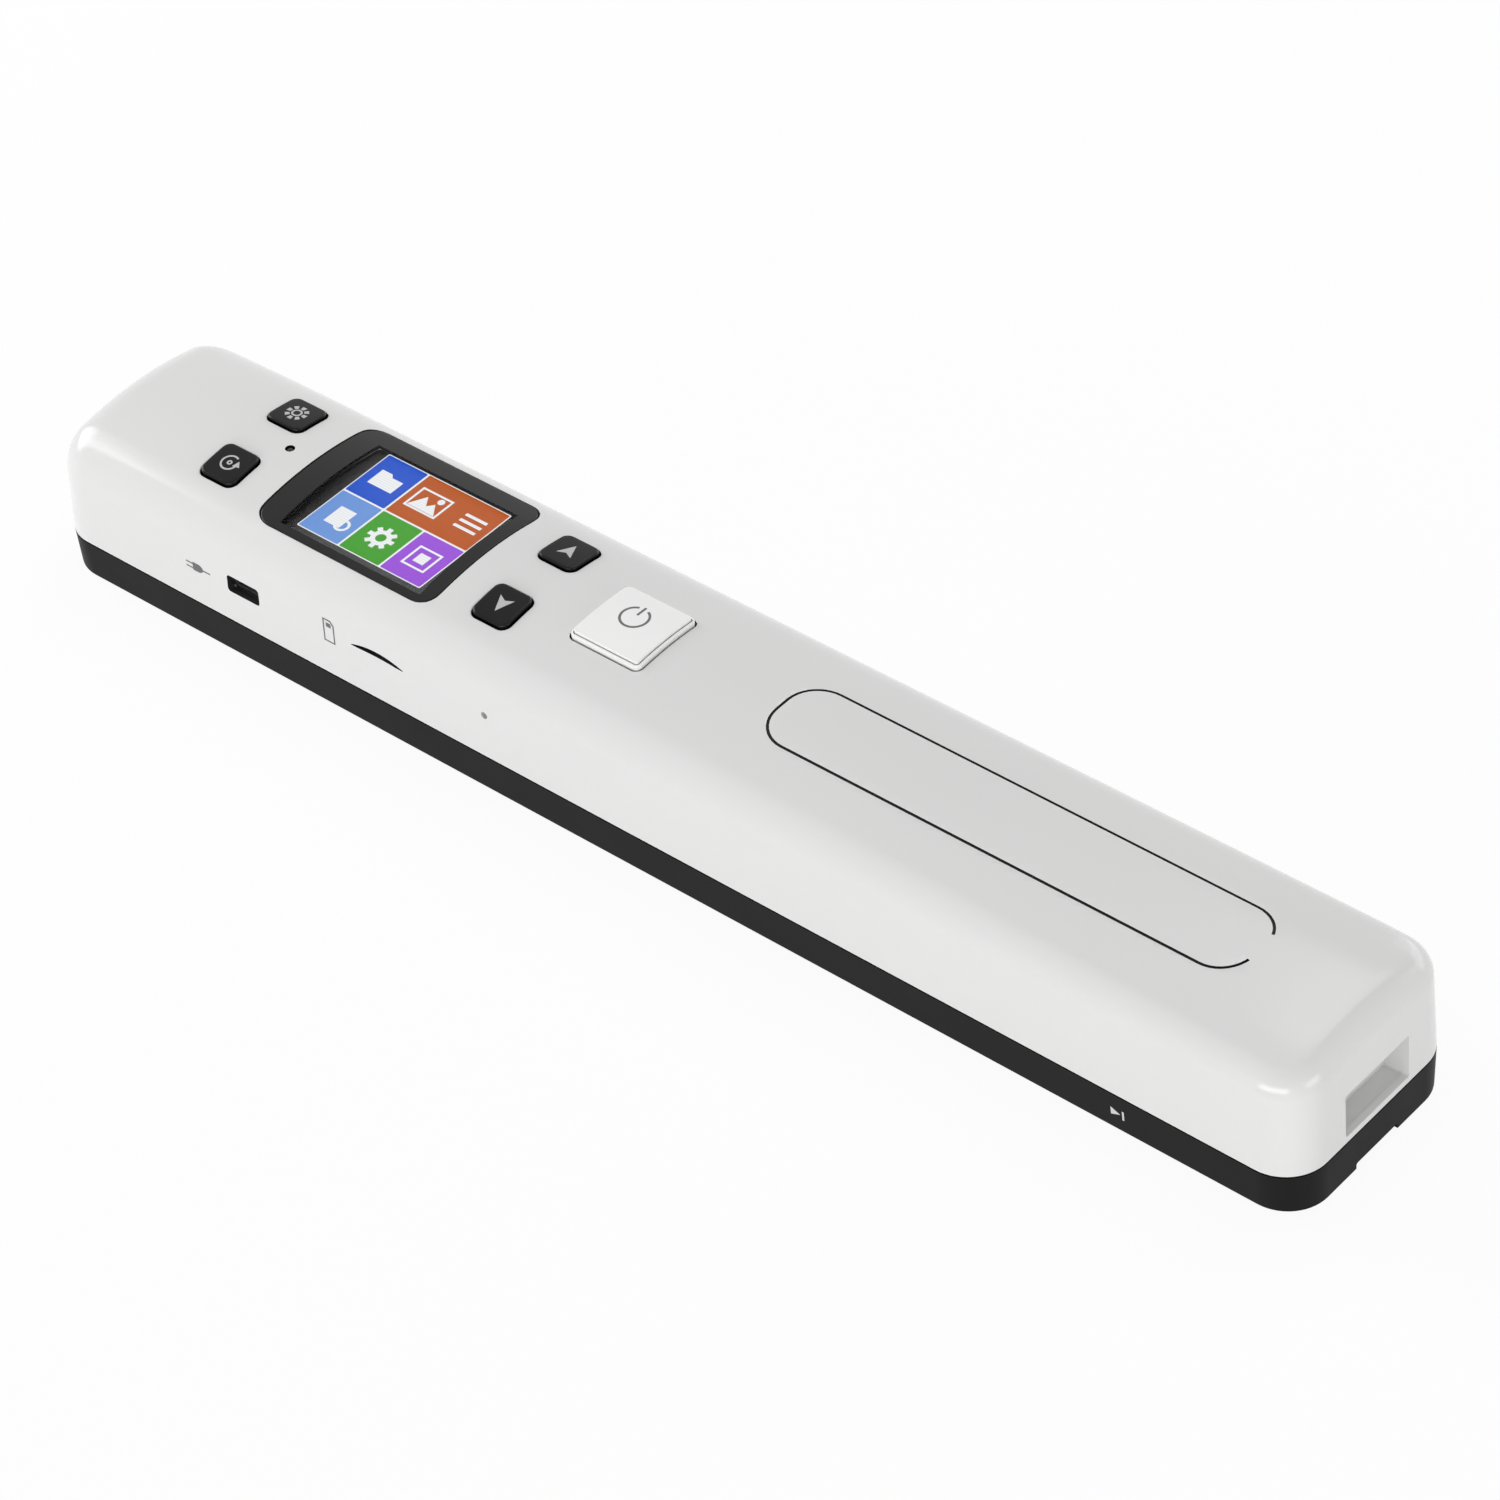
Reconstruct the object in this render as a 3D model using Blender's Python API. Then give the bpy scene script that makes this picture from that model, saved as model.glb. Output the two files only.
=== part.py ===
"""Handheld wand scanner for A4 sheets: a white cover on a black tray, with a colour display,
five keys, two rubber roller axles and a sensor bar that reads through a glass strip below.
Metres, +Z up, standing on its rollers at z = 0. Length runs along X with the display end at -X,
and the ports are on the -Y side."""

import math

import bmesh
import bpy

# Whole body
body_length = 0.257
body_width = 0.0402
body_height = 0.0292
seam_height = 0.0080
seam_gap = 0.0003
foot_clearance = 0.00035
plan_radius = 0.0075
crown_radius = 0.062
left_shoulder_radius = 0.0085
left_end_shoulder_radius = 0.0062
right_shoulder_radius = 0.0050
left_droop = 0.0009
left_droop_length = 0.035
right_droop = 0.0006
right_droop_length = 0.015
side_draft_share = 0.038
end_draft_share = 0.023
clearance = 0.0003
overrun = 0.001
cover_wall = 0.0018
tray_wall = 0.0016

# Outline stations and surface steps
corner_steps = 5
small_corner_steps = 3
cover_side_steps = 14
cover_end_steps = 4
shoulder_steps = 4
crown_inset_shares = (0.25, 0.65, 1.0)
least_corner = 0.0013
spine_half = 0.0017

# Tray
tray_taper = 0.0005
tray_plan_radius = 0.0060
tray_edge_round = 0.0006
tray_round_steps = 2
lip_height = 0.0018
lip_thickness = 0.0009
channel_width = 0.0104
channel_depth = 0.0013

# Sensor bar
glass_end_inset = 0.0195
glass_width = 0.0080
glass_thickness = 0.0015
bar_end_inset = 0.0135
bar_width = 0.0120
bar_height = 0.0084
lens_end_inset = 0.0010
lens_width = 0.0016
lens_height = 0.0043
guide_radius = 0.0012
guide_offset = 0.0036
emitter_length = 0.0030
sensor_board_end_inset = 0.0030
sensor_board_width = 0.0096
sensor_board_thickness = 0.0010
sensor_board_depth = 0.0003
hook_tyre_gap = 0.0170
hook_length = 0.005
hook_thickness = 0.0014
hook_reach = 0.0009
hook_tip_height = 0.0010

# Rollers
tyre_radius = 0.0040
tyre_width = 0.0060
tyre_end_inset = 0.0365
tyre_tray_gap = 0.0011
tyre_edge_round = 0.0004
hub_radius = 0.0022
axle_radius = 0.0010
roller_window_gap = 0.0005
bush_radius = 0.0020
bush_length = 0.0024
bush_end_wall = 0.0007
bush_gear_gap = 0.0008
saddle_length = 0.0018
saddle_half_width = 0.0032
saddle_top_gap = 0.0002
saddle_mouth = 0.0036
round_steps = 24
small_round_steps = 12

# Motion sensor
gear_module = 0.0004
roller_gear_teeth = 12
encoder_gear_teeth = 14
gear_width = 0.0016
gear_tyre_gap = 0.0014
gear_centre_play = 0.00008
tooth_thickness_share = 0.74
tooth_height_share = 0.92
encoder_hub_radius = 0.0017
encoder_disc_radius = 0.0046
encoder_disc_thickness = 0.0006
encoder_vane_depth = 0.0014
encoder_vanes = 12
encoder_disc_gap = 0.0004
pin_radius = 0.0007
pin_head_radius = 0.0012
pin_head_length = 0.0006
post_gap = 0.0008
post_length = 0.0020
post_half_width = 0.0019
interrupter_width = 0.0050
interrupter_arm = 0.0015
interrupter_root = 0.0028
interrupter_overlap = 0.0020

# Main board
board_depth = 0.0099
board_thickness = 0.0012
board_end_inset = 0.0165
board_reach = 0.0610
board_side_gap = 0.0013
chip_height = 0.0012
chip_sink = 0.0004

# Display
display_end_inset = 0.0630
window_length = 0.0376
window_width = 0.0290
window_corner = 0.0034
lens_edge_thickness = 0.00115
panel_length = 0.0334
panel_width = 0.0256
panel_thickness = 0.0024
holder_plate = 0.0014
holder_wall = 0.0012

# Keys
key_spacing = 0.0604
key_row_width = 0.0160
key_size = 0.0076
key_corner = 0.0015
key_proud = 0.0006
key_edge = 0.0004
key_edge_steps = 2
flange_reach = 0.0008
flange_thickness = 0.0008
stem_radius = 0.0015
key_travel_room = 0.0005
scan_key_reach = 0.0508
scan_key_size = 0.0145
scan_key_corner = 0.0012
scan_key_proud = 0.0010
scan_key_edge = 0.0003
switch_size = 0.0060
switch_height = 0.0031
plunger_radius = 0.0014
plunger_proud = 0.0009
plunger_sink = 0.0012

# Status light
light_reach = 0.0247
light_y = 0.0006
light_pipe_radius = 0.00055
light_flange_radius = 0.0013
light_flange_thickness = 0.0006
light_recess = 0.0002
emitter_chip_length = 0.0016
emitter_chip_width = 0.0008
emitter_chip_height = 0.0007

# Ports on the near side
usb_reach = 0.0180
usb_width = 0.0079
usb_height = 0.0039
usb_depth = 0.0092
usb_mouth_width = 0.0069
usb_mouth_height = 0.0030
usb_mouth_depth = 0.0070
card_reach = 0.0121
card_socket_width = 0.0136
card_socket_height = 0.0015
card_socket_depth = 0.0140
card_slot_width = 0.0114
card_slot_height = 0.0008
card_slot_depth = 0.0120
scoop_width = 0.0122
scoop_height = 0.0034
scoop_depth = 0.0009
reset_reach = 0.0354
reset_hole_radius = 0.00065
reset_plunger_radius = 0.0006
reset_plunger_sink = 0.0010
reset_switch_width = 0.0040
reset_switch_depth = 0.0030
reset_switch_height = 0.0022

# Battery and its lead
battery_board_gap = 0.0165
battery_end_inset = 0.0385
battery_width = 0.026
battery_thickness = 0.0078
battery_round = 0.0020
rail_thickness = 0.0013
rail_end_inset = 0.008
rail_hook_reach = 0.0010
rail_hook_thickness = 0.0010
stop_thickness = 0.0012
stop_near = 0.006
stop_far = 0.011
lead_radius = 0.0006
lead_spread = 0.0013
lead_battery_spread = 0.0026
lead_sag = 0.0008
lead_points = 7
plug_length = 0.0054
plug_width = 0.0072
plug_height = 0.0028
plug_board_inset = 0.0007

# Flat cable between the sensor bar and the board
ribbon_width = 0.0080
ribbon_thickness = 0.0003
ribbon_end_inset = 0.0080
ribbon_run = 0.0130
ribbon_turn_steps = 10
ribbon_socket_length = 0.0040
ribbon_socket_width = 0.0096
ribbon_socket_height = 0.0016
ribbon_socket_reach = 0.0060

# Screws and posts
case_screw_end_inset = 0.0125
case_screw_side_inset = 0.0071
case_screw_radius = 0.0010
case_screw_length = 0.0160
case_head_radius = 0.0018
case_head_height = 0.0012
case_head_sink = 0.0004
case_post_radius = 0.0026
case_boss_radius = 0.0032
case_boss_lap = 0.0013
board_screw_end_inset = 0.0025
board_screw_reach = 0.0385
board_screw_radius = 0.0008
board_screw_length = 0.0048
board_head_radius = 0.0016
board_head_height = 0.0010
board_post_radius = 0.0024
screw_slot_width = 0.0005
screw_slot_depth = 0.0005

# Strap pocket in the +X end, and the line engraved on top
pocket_width = 0.0158
pocket_height = 0.0079
pocket_depth = 0.0044
pocket_lift = 0.0017
pocket_wall = 0.0015
line_key_gap = 0.0307
line_end_inset = 0.0212
line_half_width = 0.0073
line_corner = 0.0058
line_groove = 0.0005
line_groove_depth = 0.0003
line_break_low = -0.0027
line_break_high = 0.0036
line_steps = 4

# Lengths and places along the body, from its two ends and from the display's middle
left_end = -body_length / 2
right_end = body_length / 2
glass_length = body_length - 2 * glass_end_inset
lens_length = glass_length - 2 * lens_end_inset
bar_length = body_length - 2 * bar_end_inset
sensor_board_length = bar_length - 2 * sensor_board_end_inset
tyre_span = body_length - 2 * tyre_end_inset
hook_place = tyre_span / 2 - hook_tyre_gap
display_x = left_end + display_end_inset
light_x = display_x - light_reach
scan_key_x = display_x + scan_key_reach
usb_x = display_x - usb_reach
card_x = display_x + card_reach
reset_x = display_x + reset_reach
board_left = left_end + board_end_inset
board_right = display_x + board_reach
board_screw_left = board_left + board_screw_end_inset
board_screw_right = display_x + board_screw_reach
battery_left = board_right + battery_board_gap
battery_right = right_end - battery_end_inset
ribbon_start = ribbon_end_inset - sensor_board_length / 2
ribbon_turn = ribbon_start + ribbon_run
ribbon_socket_x = ribbon_start + ribbon_socket_reach
line_left = scan_key_x + line_key_gap
line_right = right_end - line_end_inset

# Other places that follow from the sizes above
tray_bottom = foot_clearance
tray_floor = tray_bottom + tray_wall
tray_rim = seam_height - seam_gap / 2
cover_rim = seam_height + seam_gap / 2
lip_inset = cover_wall + clearance
tray_inset = lip_inset + lip_thickness
tray_half_y = body_width / 2 - tray_inset
channel_top = tray_bottom + channel_depth
hump_top = channel_top + tray_wall
bar_bottom = hump_top + clearance
bar_top = bar_bottom + bar_height
roller_y = tray_half_y - tyre_tray_gap - tyre_radius
gear_low = tyre_span / 2 + tyre_width / 2 + gear_tyre_gap
gear_high = gear_low + gear_width
bush_low = gear_high + bush_gear_gap
bush_high = bush_low + bush_length
axle_half = bush_high - bush_end_wall - clearance
disc_low = bush_high + encoder_disc_gap
disc_high = disc_low + encoder_disc_thickness
post_low = disc_high + post_gap
post_high = post_low + post_length
gear_distance = gear_module * (roller_gear_teeth + encoder_gear_teeth) / 2 + gear_centre_play
encoder_z = tyre_radius + gear_distance
board_top = body_height - board_depth
board_bottom = board_top - board_thickness
lip_top = seam_height + lip_height
hang_height = board_bottom - clearance
stand_height = board_top + clearance
key_left_x = display_x - key_spacing / 2
key_right_x = display_x + key_spacing / 2
plunger_top = stand_height + switch_height + plunger_proud
case_screw_x = body_length / 2 - case_screw_end_inset
case_screw_y = body_width / 2 - case_screw_side_inset
case_boss_top = seam_height + case_boss_lap


def srgb(code):
    """Linear colour of a six-digit hex code."""
    channels = [int(code[i : i + 2], 16) / 255 for i in (0, 2, 4)]
    return [c / 12.92 if c <= 0.04045 else ((c + 0.055) / 1.055) ** 2.4 for c in channels] + [1]


def finish(name, code, roughness, metallic=0.0):
    material = bpy.data.materials.new(name)
    material.use_nodes = True
    shader = material.node_tree.nodes["Principled BSDF"]
    shader.inputs["Base Color"].default_value = srgb(code)
    shader.inputs["Roughness"].default_value = roughness
    shader.inputs["Metallic"].default_value = metallic
    return material


def place(name, shape, look, at=(0, 0, 0), smooth_degrees=40):
    """One object from a bmesh whose points are measured from the place given."""
    bmesh.ops.recalc_face_normals(shape, faces=shape.faces)
    mesh = bpy.data.meshes.new(name)
    shape.to_mesh(mesh)
    shape.free()
    mesh.shade_smooth()
    mesh.set_sharp_from_angle(angle=math.radians(smooth_degrees))
    if look is not None:
        mesh.materials.append(look)
    thing = bpy.data.objects.new(name, mesh)
    thing.location = at
    bpy.context.scene.collection.objects.link(thing)
    return thing


def combine(target, tools, operation):
    """One Boolean of the target with all the tools, which are then removed."""
    group = bpy.data.collections.new("tools")
    bpy.context.scene.collection.children.link(group)
    for tool in tools:
        group.objects.link(tool)
    step = target.modifiers.new("step", "BOOLEAN")
    step.operation = operation
    step.solver = "EXACT"
    step.operand_type = "COLLECTION"
    step.collection = group
    bpy.context.view_layer.objects.active = target
    bpy.ops.object.modifier_apply(modifier=step.name)
    for tool in tools:
        bpy.data.objects.remove(tool)
    bpy.data.collections.remove(group)
    target.data.shade_smooth()
    target.data.set_sharp_from_angle(angle=math.radians(40))


def cut(target, *tools):
    combine(target, tools, "DIFFERENCE")


def join(target, *tools):
    combine(target, tools, "UNION")


def bridged(shape, first, second):
    for i in range(len(first)):
        after = (i + 1) % len(first)
        shape.faces.new((first[i], first[after], second[after], second[i]))


def ring_shape(rings, cap_last=True):
    """A closed skin through rings of equally many points, flat at both ends."""
    shape = bmesh.new()
    loops = [[shape.verts.new(point) for point in ring] for ring in rings]
    for first, second in zip(loops, loops[1:]):
        bridged(shape, first, second)
    shape.faces.new(loops[0][::-1])
    if cap_last:
        shape.faces.new(loops[-1])
    return shape, loops


def box_shape(x, y, z):
    (x0, x1), (y0, y1), (z0, z1) = x, y, z
    corners = ((x0, y0), (x1, y0), (x1, y1), (x0, y1))
    return ring_shape([[(*corner, z0) for corner in corners], [(*corner, z1) for corner in corners]])[0]


def box(name, x, y, z, look=None):
    return place(name, box_shape(x, y, z), look)


def around(middle, width):
    return (middle - width / 2, middle + width / 2)


def mirrored_span(side, low, high):
    return (side * low, side * high) if side > 0 else (side * high, side * low)


def onto_axis(axis, along, first, second):
    """Point with one coordinate along the axis and the other two across it."""
    if axis == "X":
        return (along, first, second)
    if axis == "Y":
        return (first, along, second)
    return (first, second, along)


def circle(radius, steps):
    turns = [2 * math.pi * i / steps for i in range(steps)]
    return [(radius * math.cos(turn), radius * math.sin(turn)) for turn in turns]


def turned_shape(profile, axis, steps):
    """Turns a profile of (radius, along) pairs about the axis. It is closed by its ends on the axis,
    or, where no point is on the axis, by joining the last ring to the first."""
    shape = bmesh.new()
    loops = []
    for radius, along in profile:
        if radius == 0:
            loops.append([shape.verts.new(onto_axis(axis, along, 0, 0))])
        else:
            ring = [onto_axis(axis, along, u, v) for u, v in circle(radius, steps)]
            loops.append([shape.verts.new(point) for point in ring])
    pairs = list(zip(loops, loops[1:]))
    if len(loops[0]) > 1:
        pairs.append((loops[-1], loops[0]))
    for first, second in pairs:
        if len(first) > 1 and len(second) > 1:
            bridged(shape, first, second)
            continue
        tip, ring = (first, second) if len(first) == 1 else (second, first)
        for i in range(steps):
            shape.faces.new((tip[0], ring[i], ring[(i + 1) % steps]))
    return shape


def turned(name, profile, axis, at, look=None, steps=round_steps):
    return place(name, turned_shape(profile, axis, steps), look, at)


def rod(name, radius, low, high, axis, at, look=None, steps=small_round_steps):
    return turned(name, [(0, low), (radius, low), (radius, high), (0, high)], axis, at, look, steps)


def prism(name, points, low, high, axis, at, look=None):
    """An outline of points across the axis, drawn out along it."""
    rings = [[onto_axis(axis, along, u, v) for u, v in points] for along in (low, high)]
    return place(name, ring_shape(rings)[0], look, at)


def plan_stations(side_steps, end_steps, turn_steps):
    """Stations round a rounded rectangle from the near side anticlockwise: the shares of its
    half length and half width, and the outward direction."""
    sides = [2 * i / side_steps - 1 for i in range(1, side_steps)]
    ends = [2 * i / end_steps - 1 for i in range(1, end_steps)]

    def corner(sx, sy, start):
        turns = [start + math.pi / 2 * i / turn_steps for i in range(turn_steps + 1)]
        return [(sx, sy, math.cos(turn), math.sin(turn)) for turn in turns]

    stations = [(share, -1, 0, -1) for share in sides] + corner(1, -1, -math.pi / 2)
    stations += [(1, share, 1, 0) for share in ends] + corner(1, 1, 0)
    stations += [(-share, 1, 0, 1) for share in sides] + corner(-1, 1, math.pi / 2)
    stations += [(-1, -share, -1, 0) for share in ends] + corner(-1, -1, math.pi)
    return stations


def plan_point(station, half_x, half_y, radius):
    sx, sy, nx, ny = station
    return (sx * (half_x - radius) + radius * nx, sy * (half_y - radius) + radius * ny)


def rounded_outline(half_x, half_y, radius, side_steps=1, end_steps=1, turn_steps=small_corner_steps):
    stations = plan_stations(side_steps, end_steps, turn_steps)
    return [plan_point(station, half_x, half_y, radius) for station in stations]


def at_height(points, z):
    return [(x, y, z) for x, y in points]


def crown_height(x, y):
    """Top of the body before its shoulders: arched across, and drooping a little to each end."""
    left = max(0, 1 - (x + body_length / 2) / left_droop_length)
    right = max(0, 1 - (body_length / 2 - x) / right_droop_length)
    arch = y * y / (2 * crown_radius)
    return body_height - arch - left_droop * left**2 - right_droop * right**2


def shoulder_radius(x, outward_x=0):
    """Tighter toward the right end, and tighter across the left end than along its sides."""
    share = min(max(x / body_length + 1 / 2, 0), 1)
    radius = left_shoulder_radius + (right_shoulder_radius - left_shoulder_radius) * share
    if outward_x < 0:
        radius += (left_end_shoulder_radius - left_shoulder_radius) * outward_x**2
    return radius


def shoulder_arc(spot, outward, radius, depth):
    """Centre height and sweep of the shoulder where spot(inset) gives its plan place. The sweep
    stops where the arc has the slope of the crown."""
    step = radius / 10
    x, y = spot(radius)
    ahead = crown_height(x + outward[0] * step, y + outward[1] * step)
    slope = max(0, (crown_height(x, y) - ahead) / step)
    sweep = math.pi / 2 - math.atan(slope)
    top = crown_height(*spot(radius * (1 - math.cos(sweep)))) - depth
    return top - radius * math.sin(sweep), sweep


def wall_halves(z, depth):
    rise = z - seam_height
    half_x = body_length / 2 - end_draft_share * rise - depth
    half_y = body_width / 2 - side_draft_share * rise - depth
    return half_x, half_y


def surface_height(x, y, depth=0):
    """Height of the long body's skin, depth under its outside, away from its ends."""
    radius = shoulder_radius(x) - depth
    half_y = wall_halves(body_height - shoulder_radius(x), depth)[1]
    middle, sweep = shoulder_arc(lambda inset: (x, half_y - inset), (0, 1), radius, depth)
    inset = half_y - abs(y)
    if inset >= radius * (1 - math.cos(sweep)):
        return crown_height(x, y) - depth
    return middle + radius * math.sin(math.acos(max(0, 1 - inset / radius)))


def skin(name, depth, bottom, look=None):
    """The body above the seam as one solid, depth under its outside."""
    stations = plan_stations(cover_side_steps, cover_end_steps, corner_steps)
    level_count = shoulder_steps + 1 + len(crown_inset_shares)
    rings = [[] for _ in range(level_count + 1)]
    for station in stations:
        low_x, low_y = wall_halves(bottom, depth)
        rings[0].append((*plan_point(station, low_x, low_y, plan_radius - depth), bottom))
        full_radius = shoulder_radius(station[0] * body_length / 2, station[2])
        half_x, half_y = wall_halves(body_height - full_radius, depth)
        radius = full_radius - depth

        def spot(inset):
            corner = max(plan_radius - depth - inset, least_corner)
            return plan_point(station, half_x - inset, half_y - inset, corner)

        middle, sweep = shoulder_arc(spot, station[2:], radius, depth)
        for i in range(shoulder_steps + 1):
            turn = sweep * i / shoulder_steps
            x, y = spot(radius * (1 - math.cos(turn)))
            rings[1 + i].append((x, y, middle + radius * math.sin(turn)))
        for i, share in enumerate(crown_inset_shares):
            x, y = spot(radius + share * (half_y - spine_half - radius))
            rings[2 + shoulder_steps + i].append((x, y, crown_height(x, y) - depth))
    shape, loops = ring_shape(rings, cap_last=False)
    spine = loops[-1]
    sides = cover_side_steps - 1
    far = sides + 2 * (corner_steps + 1) + cover_end_steps - 1
    for i in range(sides - 1):
        shape.faces.new((spine[i], spine[i + 1], spine[far + sides - 2 - i], spine[far + sides - 1 - i]))
    shape.faces.new(spine[sides - 1 : far + 1])
    shape.faces.new(spine[far + sides - 1 :] + [spine[0]])
    bmesh.ops.triangulate(shape, faces=shape.faces)
    return place(name, shape, look)


def make_cover(look):
    """The outer skin less a cavity, which leaves out the posts, rails and walls inside."""
    cavity = skin("cavity", cover_wall, cover_rim - overrun)
    kept = []
    for x in (-case_screw_x, case_screw_x):
        for y in (-case_screw_y, case_screw_y):
            low = case_boss_top + clearance
            spot = (x, y, 0)
            kept.append(rod("post", case_post_radius, low, body_height, "Z", spot, steps=round_steps))
    for x in (board_screw_left, board_screw_right):
        spot = (x, 0, 0)
        kept.append(rod("post", board_post_radius, stand_height, body_height, "Z", spot, steps=round_steps))
    kept += [*battery_rail_tools(-1), *battery_rail_tools(1), *battery_stop_tools()]
    pocket_low = seam_height + pocket_lift
    end = wall_halves(pocket_low, 0)[0]
    inner = end - pocket_depth
    wall_y = around(0, pocket_width + 2 * pocket_wall)
    wall_z = (cover_rim, pocket_low + pocket_height + pocket_wall)
    kept.append(box("pocket_walls", (inner - pocket_wall, end), wall_y, wall_z))
    cut(cavity, *kept)

    cover = skin("top_cover", 0, cover_rim, look)
    cut(cover, cavity)
    pocket_z = (pocket_low, pocket_low + pocket_height)
    holes = [box("pocket", (inner, end + overrun), around(0, pocket_width), pocket_z)]
    for x in (-case_screw_x, case_screw_x):
        for y in (-case_screw_y, case_screw_y):
            low = case_boss_top + clearance - overrun
            top = case_screw_top() + clearance
            holes.append(rod("bore", case_screw_radius + clearance, low, top, "Z", (x, y, 0)))
    for x in (board_screw_left, board_screw_right):
        top = hang_height + board_screw_length + clearance
        holes.append(rod("bore", board_screw_radius + clearance, board_bottom, top, "Z", (x, 0, 0)))
    cut(cover, *holes, *top_openings(), *side_openings(), engraved_line())


def top_openings():
    """Cutters for the keys, the display and the status light."""
    reach = cover_wall + overrun
    high = body_height + overrun
    for x, y in key_places().values():
        half = key_size / 2 + clearance
        low = surface_height(x, abs(y) + half) - 2 * reach
        points = rounded_outline(half, half, key_corner + clearance)
        yield prism("opening", points, low, high, "Z", (x, y, 0))
    half = scan_key_size / 2 + clearance
    points = rounded_outline(half, half, scan_key_corner + clearance)
    low = surface_height(scan_key_x, half) - 2 * reach
    yield prism("opening", points, low, high, "Z", (scan_key_x, 0, 0))
    points = rounded_outline(window_length / 2, window_width / 2, window_corner)
    low = surface_height(display_x, window_width / 2) - 2 * reach
    yield prism("opening", points, low, high, "Z", (display_x, 0, 0))
    low = body_height - 2 * reach
    yield rod("opening", light_pipe_radius + clearance, low, high, "Z", (light_x, light_y, 0))


def side_openings():
    """Cutters for the plug mouth, the card slot with its hollow, and the reset pinhole."""
    outside = -body_width / 2 - overrun
    inside = -wall_halves(board_bottom, cover_wall)[1] + overrun
    mouth_z = around(usb_middle(), usb_mouth_height + clearance)
    yield box("mouth", around(usb_x, usb_mouth_width + clearance), (outside, inside), mouth_z)
    slot_z = around(card_middle(), card_slot_height + clearance)
    yield box("slot", around(card_x, card_slot_width), (outside, inside), slot_z)
    yield card_scoop(card_middle())
    yield rod("pinhole", reset_hole_radius, outside, inside, "Y", (reset_x, 0, reset_middle()))


def card_scoop(middle):
    """A flattened ball that leaves a shallow fingertip hollow below the card slot."""
    wall_y = wall_halves(middle, 0)[1]
    shape = bmesh.new()
    bmesh.ops.create_uvsphere(shape, u_segments=16, v_segments=8, radius=1)
    size = (scoop_width / 2, scoop_depth, scoop_height / 2)
    for vertex in shape.verts:
        vertex.co = [share * length for share, length in zip(vertex.co, size)]
    low = middle - scoop_height / 2 + card_slot_height / 2
    return place("scoop", shape, None, (card_x, -wall_y, low))


def engraved_line():
    """A narrow band that follows the crown round a long rounded rectangle, open at its +X end."""
    middle = (line_left + line_right) / 2
    half_x = (line_right - line_left) / 2
    stations = plan_stations(line_steps, 1, corner_steps)
    start = next(i for i, station in enumerate(stations) if station[:2] == (1, 1))
    round_points = [plan_point(station, half_x, line_half_width, line_corner) for station in stations]
    arc_x = half_x - line_corner

    def line_end(y):
        rise = max(0, abs(y) - (line_half_width - line_corner))
        return (arc_x + math.sqrt(line_corner**2 - rise**2), y)

    path = [line_end(line_break_high)]
    for x, y in round_points[start:] + round_points[:start]:
        if x <= arc_x or not line_break_low < y < line_break_high:
            path.append((x, y))
    path.append(line_end(line_break_low))
    rings = []
    for i, (x, y) in enumerate(path):
        before = path[max(i - 1, 0)]
        after = path[min(i + 1, len(path) - 1)]
        run = math.hypot(after[0] - before[0], after[1] - before[1])
        nx = (after[1] - before[1]) / run * line_groove / 2
        ny = (before[0] - after[0]) / run * line_groove / 2
        z = crown_height(middle + x, y)
        low = z - line_groove_depth
        high = z + overrun
        outer = (middle + x + nx, y + ny)
        inner = (middle + x - nx, y - ny)
        rings.append([(*outer, low), (*outer, high), (*inner, high), (*inner, low)])
    return place("line", ring_shape(rings)[0], None)


def battery_top():
    return surface_height(battery_left, battery_width / 2, cover_wall) - clearance


def battery_rail_tools(side):
    length = (battery_left + rail_end_inset, battery_right - rail_end_inset)
    edge = battery_width / 2 + clearance
    hook_high = battery_top() - battery_thickness - clearance
    low = hook_high - rail_hook_thickness
    wall = mirrored_span(side, edge, edge + rail_thickness)
    hook = mirrored_span(side, battery_width / 2 - rail_hook_reach, edge + rail_thickness)
    yield box("rail", length, wall, (low, body_height))
    yield box("hook", length, hook, (low, hook_high))


def battery_stop_tools():
    low = battery_top() - battery_thickness / 2
    left = battery_left - clearance
    right = battery_right + clearance
    for side in (-1, 1):
        span = mirrored_span(side, stop_near, stop_far)
        yield box("stop", (left - stop_thickness, left), span, (low, body_height))
        yield box("stop", (right, right + stop_thickness), span, (low, body_height))


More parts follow.
